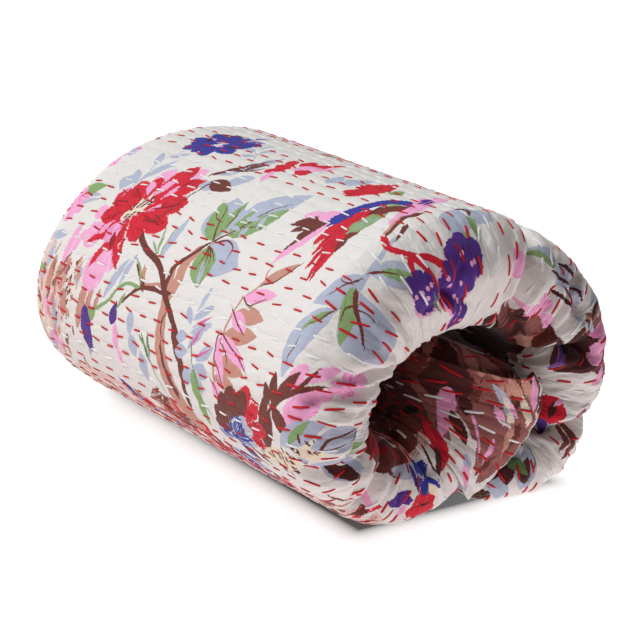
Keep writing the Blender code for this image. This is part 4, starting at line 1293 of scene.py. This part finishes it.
# Running stitches, each a short bead of thread that dips into the cloth at both its ends
stitches = {
    "redRows": ((0, 4), (7, 11), (14, 18), (21, 24), (27, 30), (33, 36), (41, 44), (47, 51),
                (53, 57), (60, 64), (67, 71), (74, 77)),
    "long": 0.0122, "gap": 0.0092, "lipLong": 0.0150, "lipGap": 0.0082,
    "wide": 0.00078, "lipWide": 0.00098, "tall": 0.00056, "rise": 0.00020, "dip": 0.0010,
    "inside": -0.062, "steps": 7, "sides": 6, "tightest": 0.62, "skew": 0.0007,
    "lipSkew": 0.0016,
    "lipArc": 0.054, "lipBand": 0.05,   # how far round from the crest the lip's sewing goes
    "back": -0.36,                      # the inner face is sewn up to here from the far end
    "core": 0.73, "coreFace": 0.085, "coreBack": 0.355,     # rows further in, and their faces
    "margin": 0.002, "rim": 0.001, "probe": 0.0015,
}


def stitchLines(rng, low, high, lipArc=stitches["lipArc"]):
    # starts and ends of the stitches along one row, from low to high round the strip
    spans, b = [], low + rng.random() * 2 * stitches["long"]
    while b < high - stitches["long"]:
        onLip = abs(b) < lipArc
        length = stitches["lipLong" if onLip else "long"] * (0.86 + 0.28 * rng.random())
        spans.append((b, b + length))
        b += length + stitches["lipGap" if onLip else "gap"] * (0.75 + 0.5 * rng.random())
    return np.array(spans)


def threadBeads(spans, rowNumber, points, outer, aroundRows, stretch, rng, covered):
    # For each stitch, rings of an ellipse along it: half width w * sqrt(1 - u^4), u from
    # -1 to 1, lifted off the cloth in the middle and sunk into it at both ends.
    steps, sides = stitches["steps"], stitches["sides"]
    row = rowNumber * quilt["rowPitch"]
    u = np.linspace(-1, 1, steps)
    b = spans.mean(1)[:, None] + (spans[:, 1] - spans[:, 0])[:, None] / 2 * u[None]
    onLip = np.abs(b.mean(1)) < stitches["lipBand"]
    loose = np.where(onLip, stitches["lipSkew"], stitches["skew"])
    wide = np.where(onLip, stitches["lipWide"], stitches["wide"])[:, None, None]
    skew = loose[:, None] * rng.standard_normal((len(spans), 2)).clip(-2, 2)
    a = row + skew[:, :1] + skew[:, 1:] * u[None]

    def at(a, b):
        # the displaced cloth between the four nearest grid points
        place = np.clip(a / (outer[1] - outer[0]) - outer[0] / (outer[1] - outer[0]), 0,
                        len(outer) - 1.001)
        i = place.astype(int)
        w = (place - i)[..., None]
        order = np.argsort(aroundRows[i.flat[0]])
        spot = np.interp(b, aroundRows[i.flat[0]][order], np.arange(len(order)))
        j = np.clip(spot.astype(int), 0, len(order) - 2)
        x = (spot - j)[..., None]
        j0, j1 = order[j], order[j + 1]
        low = points[i, j0] * (1 - x) + points[i, j1] * x
        high = points[i + 1, j0] * (1 - x) + points[i + 1, j1] * x
        return low * (1 - w) + high * w, stretch[i, j0], covered[i, j0]

    centre, tight, hidden = at(a, b)
    step = stitches["probe"]
    side = at(a + step, b)[0] - at(a - step, b)[0]
    forward = at(a, b + step)[0] - at(a, b - step)[0]
    up = np.cross(forward, side)
    side, up = (v / np.maximum(np.linalg.norm(v, axis=-1, keepdims=True), 1e-12)
                for v in (side, up))
    keep = ~hidden.any(1)
    if rowNumber % 2:
        keep &= tight.min(1) > stitches["tightest"]
    body = np.sqrt(np.maximum(1 - u ** 4, 0.02))[None, :, None]
    level = (stitches["rise"] - stitches["dip"] * np.abs(u) ** 5)[None, :, None]
    angles = 2 * math.pi * np.arange(sides) / sides
    rings = [centre + up * (level + stitches["tall"] * body * math.sin(t))
             + side * wide * body * math.cos(t) for t in angles]
    return np.stack(rings, 2)[keep]


def beadMesh(name, beads):
    # joins the rings of every bead and closes its ends with one triangle fan each
    beads = np.concatenate(beads)
    count, steps, sides = beads.shape[:3]
    i, j = np.meshgrid(np.arange(steps - 1), np.arange(sides), indexing="ij")
    k = (j + 1) % sides
    one = np.stack([i * sides + j, i * sides + k, (i + 1) * sides + k, (i + 1) * sides + j],
                   -1).reshape(-1, 4)
    fan = np.array([(0, q + 1, q) for q in range(1, sides - 1)])
    last = (steps - 1) * sides
    tips = np.concatenate([fan, last + fan[:, ::-1]])
    base = np.arange(count)[:, None, None] * steps * sides
    item = newMesh(name, beads.reshape(-1, 3), (base + one[None]).reshape(-1, 4),
                   (base + tips[None]).reshape(-1, 3))
    return item


def makeStitches(sheetTop, sheetRows, sheetAround):
    # one row of stitches at each multiple of the row pitch, red or white
    rng = np.random.default_rng(12)
    red, white = [], []
    reach = np.abs(aroundGrid).max() - stitches["margin"]
    last = int(outerRows[-1] / quilt["rowPitch"])
    # round the strip from the far lip's crest, so that each row's distances only fall
    crest = aroundGrid.shape[1] - quilt["farSteps"] // 2
    turned = np.roll(rollPoints, -crest, 1), np.roll(aroundGrid, -crest, 1)
    tightness, bedded = np.roll(stretchGrid, -crest, 1), np.roll(bed, -crest, 1)
    for number in range(1, last + 1):
        a = number * quilt["rowPitch"]
        isRed = any(low <= number <= high for low, high in stitches["redRows"])
        inCore = a > stitches["core"]
        high = stitches["coreFace"] if inCore else reach
        spans = [stitchLines(rng, stitches["inside"], high),
                 stitchLines(rng, -reach, stitches["back"], 0)]
        if inCore:
            spans.append(stitchLines(rng, stitches["coreBack"], reach, 0))
        beads = threadBeads(np.concatenate(spans), number, turned[0], outerRows, turned[1],
                            tightness, rng, bedded)
        (red if isRed else white).append(beads)
        if sheetRows[0] + stitches["margin"] < a < sheetRows[-1] - stitches["margin"]:
            b = sheetAround[np.searchsorted(sheetRows, a)]
            spans = stitchLines(rng, b.min() + stitches["margin"], b.max() - stitches["rim"])
            none = np.zeros(sheetTop.shape[:2], bool)
            beads = threadBeads(spans, number, sheetTop, sheetRows, sheetAround,
                                np.ones(none.shape), rng, none)
            (red if isRed else white).append(beads)
    return beadMesh("redStitches", red), beadMesh("whiteStitches", white)


class Wire:
    # one socket of a node tree, with arithmetic
    def __init__(self, shop, socket):
        self.shop, self.socket = shop, socket

    def maths(self, operation, *others):
        return self.shop.node("ShaderNodeMath", {"operation": operation}, self, *others)

    def __add__(self, other):
        return self.maths("ADD", other)

    def __sub__(self, other):
        return self.maths("SUBTRACT", other)

    def __rsub__(self, other):
        return self.shop.node("ShaderNodeMath", {"operation": "SUBTRACT"}, other, self)

    def __mul__(self, other):
        return self.maths("MULTIPLY", other)

    def __truediv__(self, other):
        return self.maths("DIVIDE", other)

    __radd__, __rmul__ = __add__, __mul__

    def clamped(self):
        return self.shop.node("ShaderNodeClamp", {}, self)

    def parts(self):
        split = self.shop.tree.nodes.new("ShaderNodeSeparateXYZ")
        self.shop.tree.links.new(self.socket, split.inputs[0])
        return [Wire(self.shop, output) for output in split.outputs]


class Shop:
    # makes the nodes of one material
    def __init__(self, name):
        self.material = bpy.data.materials.new(name)
        self.material.use_nodes = True
        self.tree = self.material.node_tree
        self.shader = self.tree.nodes["Principled BSDF"]

    def plug(self, socket, value):
        if isinstance(value, Wire):
            self.tree.links.new(value.socket, socket)
        elif isinstance(value, (tuple, list, np.ndarray)) and len(socket.default_value) == 4:
            socket.default_value = (*value[:3], 1.0)
        else:
            socket.default_value = value

    def node(self, kind, settings, *values, output=0, **named):
        item = self.tree.nodes.new(kind)
        for key, value in settings.items():
            setattr(item, key, value)
        for socket, value in zip(item.inputs, values):
            if value is not None:
                self.plug(socket, value)
        for key, value in named.items():
            self.plug(item.inputs[key.replace("_", " ")], value)
        return Wire(self, item.outputs[output])

    def attribute(self, name):
        return self.node("ShaderNodeAttribute", {"attribute_name": name}, output="Vector")

    def vector(self, x, y, z):
        return self.node("ShaderNodeCombineXYZ", {}, x, y, z)

    def noise(self, vector, scale, detail, roughness=0.5):
        return self.node("ShaderNodeTexNoise", {}, Vector=vector, Scale=scale, Detail=detail,
                         Roughness=roughness, output="Fac")

    def mix(self, factor, a, b):
        item = self.tree.nodes.new("ShaderNodeMix")
        item.data_type = "RGBA"
        for socket, value in ((item.inputs[0], factor), (item.inputs[6], a),
                              (item.inputs[7], b)):
            self.plug(socket, value)
        return Wire(self, item.outputs[2])

    def shade(self, colour, amount):
        # colour times a number that varies
        grey = self.vector(amount, amount, amount)
        return self.node("ShaderNodeVectorMath", {"operation": "MULTIPLY"}, colour, grey)

    def bump(self, height, distance, strength, under=None):
        named = {"Normal": under} if under else {}
        return self.node("ShaderNodeBump", {}, Strength=strength, Distance=distance,
                         Height=height, **named)


# The looks of the cotton: threads in a millimetre, sheen with its own roughness, depth in
# metres of the puckers and the threads, then for a ragged edge, blotches of the ground and
# faded ink how fine they are and how much they do
cloth = {
    "threads": 1.9, "rough": 0.86, "shine": 0.22, "sheen": (0.12, 0.45),
    "puckers": 0.0012, "grain": 0.00012,
    "wander": (0.55, 2.4), "blotch": (0.045, 0.03), "fade": (0.16, 0.16),
}
thread = {"patch": 90.0, "rough": 0.62, "shine": 0.3, "twist": (1800, 2800, 2800),
          "ridge": 0.00018}


def clothMaterial():
    # Each printed mark covers what lies under it where the distance from its middle line is
    # less than its half width there, give or take the wandering of its edge.
    shop = Shop("printedCotton")
    u, v, _ = shop.node("ShaderNodeUVMap", {"uv_map": "cloth"}).parts()
    x, y = v * -1000, u * -1000                 # millimetres on the cloth
    flat = shop.vector(x, y, 0.0)
    fine, reach = cloth["wander"]
    ragged = (shop.noise(flat, fine, 2.0, 0.6) - 0.5) * reach
    fine, shift = cloth["blotch"]
    blotch = shop.noise(flat, fine, 2.0)
    colour = shop.mix(blotch, ink("ground") * (1 - shift), ink("ground") * (1 + shift))
    printed = None
    for level in range(printing["layers"]):
        s, across, half = shop.attribute(f"place{level}").parts()
        rag, streak, disc = shop.attribute(f"manner{level}").parts()
        seed = shop.attribute(f"seed{level}").parts()[0]
        away = (across * across + disc * s * s).maths("SQRT")
        mask = ((half - away + rag * ragged) / printing["edge"] + 0.5).clamped()
        grain = shop.noise(shop.vector(s * 0.09, across * 0.75, seed), 1.0, 1.0)
        tone = ((grain * 1.8 - 1.4 + streak) * 7 + 0.5).clamped()
        dye = shop.mix(tone, shop.attribute(f"inkA{level}"), shop.attribute(f"inkB{level}"))
        colour = shop.mix(mask, colour, dye)
        printed = mask if printed is None else printed.maths("MAXIMUM", mask)

    # plain weave, its threads' shading also painted into the colour, and the ink sits unevenly on
    # it
    threads = 2 * math.pi * cloth["threads"]
    weave = (x * threads).maths("SINE") * (y * threads).maths("SINE")
    slub = shop.noise(shop.vector(x * 0.35, y * 5, 0.0), 1.0, 2.0)
    slub = slub + shop.noise(shop.vector(x * 5, y * 0.35, 9.0), 1.0, 2.0)
    fine, faded = cloth["fade"]
    fade = 1.0 + (shop.noise(flat, fine, 3.0, 0.6) - 0.5) * faded * printed
    # painted shade: the weave's light and dark threads change the colour a little; slubs and
    # fading are uneven ink
    colour = shop.shade(colour, fade + weave * 0.018 + (slub - 1.0) * 0.06)
    shop.plug(shop.shader.inputs["Base Color"], colour)
    shop.plug(shop.shader.inputs["Roughness"], cloth["rough"] + (blotch - 0.5) * 0.12)
    shop.shader.inputs["Specular IOR Level"].default_value = cloth["shine"]
    shop.shader.inputs["Sheen Weight"].default_value, haze = cloth["sheen"]
    shop.shader.inputs["Sheen Roughness"].default_value = haze

    # the cloth draws in along each row of stitches, and ripples lightly between them
    row = (u / quilt["rowPitch"] + 0.5).maths("FRACT") - 0.5
    trough = (row * row * -90).maths("EXPONENT") * -0.35
    lip = (v * v * -400).maths("EXPONENT")
    ripple = shop.noise(shop.vector(x * 0.13, y * 0.22, 3.0), 1.0, 2.0)
    pucker = shop.bump(trough + ripple * (1.2 + lip * 1.6), cloth["puckers"], 0.6)
    shop.plug(shop.shader.inputs["Normal"],
              shop.bump(weave * 0.5 + slub, cloth["grain"], 0.5, pucker))
    return shop.material


def threadMaterial(name, colour, varied):
    # twisted cotton: slanting ridges along the stitch, and a little uneven dye
    shop = Shop(name)
    place = shop.node("ShaderNodeTexCoord", {}, output="Object")
    patchy = shop.noise(place, thread["patch"], 2.0)
    shop.plug(shop.shader.inputs["Base Color"],
              shop.mix(patchy, ink(colour) * (1 - varied), ink(colour) * (1 + varied)))
    shop.plug(shop.shader.inputs["Roughness"], thread["rough"] + (patchy - 0.5) * 0.2)
    shop.shader.inputs["Specular IOR Level"].default_value = thread["shine"]
    px, py, pz = (part * turns for part, turns in zip(place.parts(), thread["twist"]))
    ridges = (px + py + pz).maths("SINE")
    shop.plug(shop.shader.inputs["Normal"], shop.bump(ridges, thread["ridge"], 0.6))
    return shop.material


print("making the roll")
cotton = clothMaterial()
roll = makeRoll()
sheet, *sheetGrid = makeCorner()
for item in (roll, sheet):
    item.data.materials.append(cotton)
print("sewing the rows")
redStitches, whiteStitches = makeStitches(*sheetGrid)
redStitches.data.materials.append(threadMaterial("redThread", "redThread", 0.12))
whiteStitches.data.materials.append(threadMaterial("whiteThread", "whiteThread", 0.03))
for item in (roll, sheet, redStitches, whiteStitches):
    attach(item, "root")
    print(item.name, sum(len(f.vertices) - 2 for f in item.data.polygons), "triangles")
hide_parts("quilt_roll")
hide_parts("loose_corner")

# Floor, light and camera
studio = {
    "aim": (-0.00178, -0.00067, 0.1003), "azimuth": 56.96, "elevation": 18.12,
    "distance": 1.847, "lens": 135,
    "world": (0.07, 0.065, 0.065), "half": 6, "below": 0.0002,
    # turn from straight down about X and Z, softness in degrees, strength, colour
    "key": ((36, 0, -46), 32, 3.35, (0.95, 1.0, 1.0)),
    "back": ((46, 0, 120), 60, 0.1, (1.0, 1.0, 1.0)),
    # The floor glows, painted light, from the edge of the roll's foot on, so that it paints a
    # contact shadow
    # under the roll: middle x, y, half sizes, then how bright the glow is and over what distance
    # it comes up, for red and for the rest; the redder glow paints warm light into the cloth's
    # shade.
    "floor": 0.14, "paintedShadowFoot": (-0.015, 0.0125, 0.174, 0.0845),
    "paintedShadowGlow": ((1.04, 0.0112), (0.97, 0.0106)),
    # It glows more in a round patch behind, painted light that lifts the roll's cast shadow:
    # middle x, y, radius, amount.
    "patch": (0.27, 0.17, 0.24, 0.22),
}


def softSun(name, turn, softness, strength, colour):
    # a sun as wide as softness says, so that its shadows fade
    light = bpy.data.lights.new(name, "SUN")
    light.angle, light.energy = math.radians(softness), strength
    light.color = colour
    item = bpy.data.objects.new(name, light)
    item.rotation_euler = [math.radians(value) for value in turn]
    bpy.context.scene.collection.objects.link(item)


def makeStudio():
    # a floor whose glow, painted light, is most * (1 - exp(-distance from the roll's foot /
    # rise)), a painted contact shadow at the foot; two suns and an even grey world
    r = studio["half"]
    floor = newMesh("floor", [(-r, -r, 0), (r, -r, 0), (r, r, 0), (-r, r, 0)], [(0, 1, 2, 3)])
    floor.location.z = -studio["below"]
    shop = Shop("paintedLightFloor")
    px, py, _ = shop.node("ShaderNodeTexCoord", {}, output="Object").parts()
    x, y, halfX, halfY = studio["paintedShadowFoot"]
    outX = ((px - x).maths("ABSOLUTE") - halfX).maths("MAXIMUM", 0)
    outY = ((py - y).maths("ABSOLUTE") - halfY).maths("MAXIMUM", 0)
    away = (outX * outX + outY * outY).maths("SQRT")
    # painted contact shadow: the glow dies away towards the roll's foot
    red, rest = (most * (1 - (away * (-1 / rise)).maths("EXPONENT"))
                 for most, rise in studio["paintedShadowGlow"])
    # painted light: more glow where the roll's shadow falls, so that the floor shows no cast
    # shadow there
    x, y, radius, amount = studio["patch"]
    far = ((px - x) * (px - x) + (py - y) * (py - y)) * (-1 / radius ** 2)
    more = far.maths("EXPONENT") * amount
    shop.plug(shop.shader.inputs["Base Color"], (studio["floor"],) * 3)
    red, rest = red + more, rest + more
    # the floor's glow is painted light, and it also lights the cloth from below
    shop.plug(shop.shader.inputs["Emission Color"], shop.vector(red, rest, rest))
    shop.shader.inputs["Emission Strength"].default_value = 1.0
    shop.shader.inputs["Roughness"].default_value = 0.9
    floor.data.materials.append(shop.material)
    softSun("keyLight", *studio["key"])
    softSun("backLight", *studio["back"])
    world = bpy.data.worlds.new("studio")
    world.use_nodes = True
    world.node_tree.nodes["Background"].inputs["Color"].default_value = (*studio["world"], 1)
    bpy.context.scene.world = world
    bpy.context.scene.view_settings.view_transform = "Standard"


def makeCamera():
    # looks at the aim from an azimuth and an elevation, both in degrees
    a, e = math.radians(studio["azimuth"]), math.radians(studio["elevation"])
    back = Vector((math.sin(a) * math.cos(e), -math.cos(a) * math.cos(e), math.sin(e)))
    camera = bpy.data.cameras.new("camera")
    camera.lens, camera.sensor_width = studio["lens"], 36
    item = bpy.data.objects.new("camera", camera)
    item.location = Vector(studio["aim"]) + back * studio["distance"]
    item.rotation_euler = (-back).to_track_quat("-Z", "Y").to_euler()
    bpy.context.scene.collection.objects.link(item)
    bpy.context.scene.camera = item


makeStudio()
makeCamera()
print("scene made")
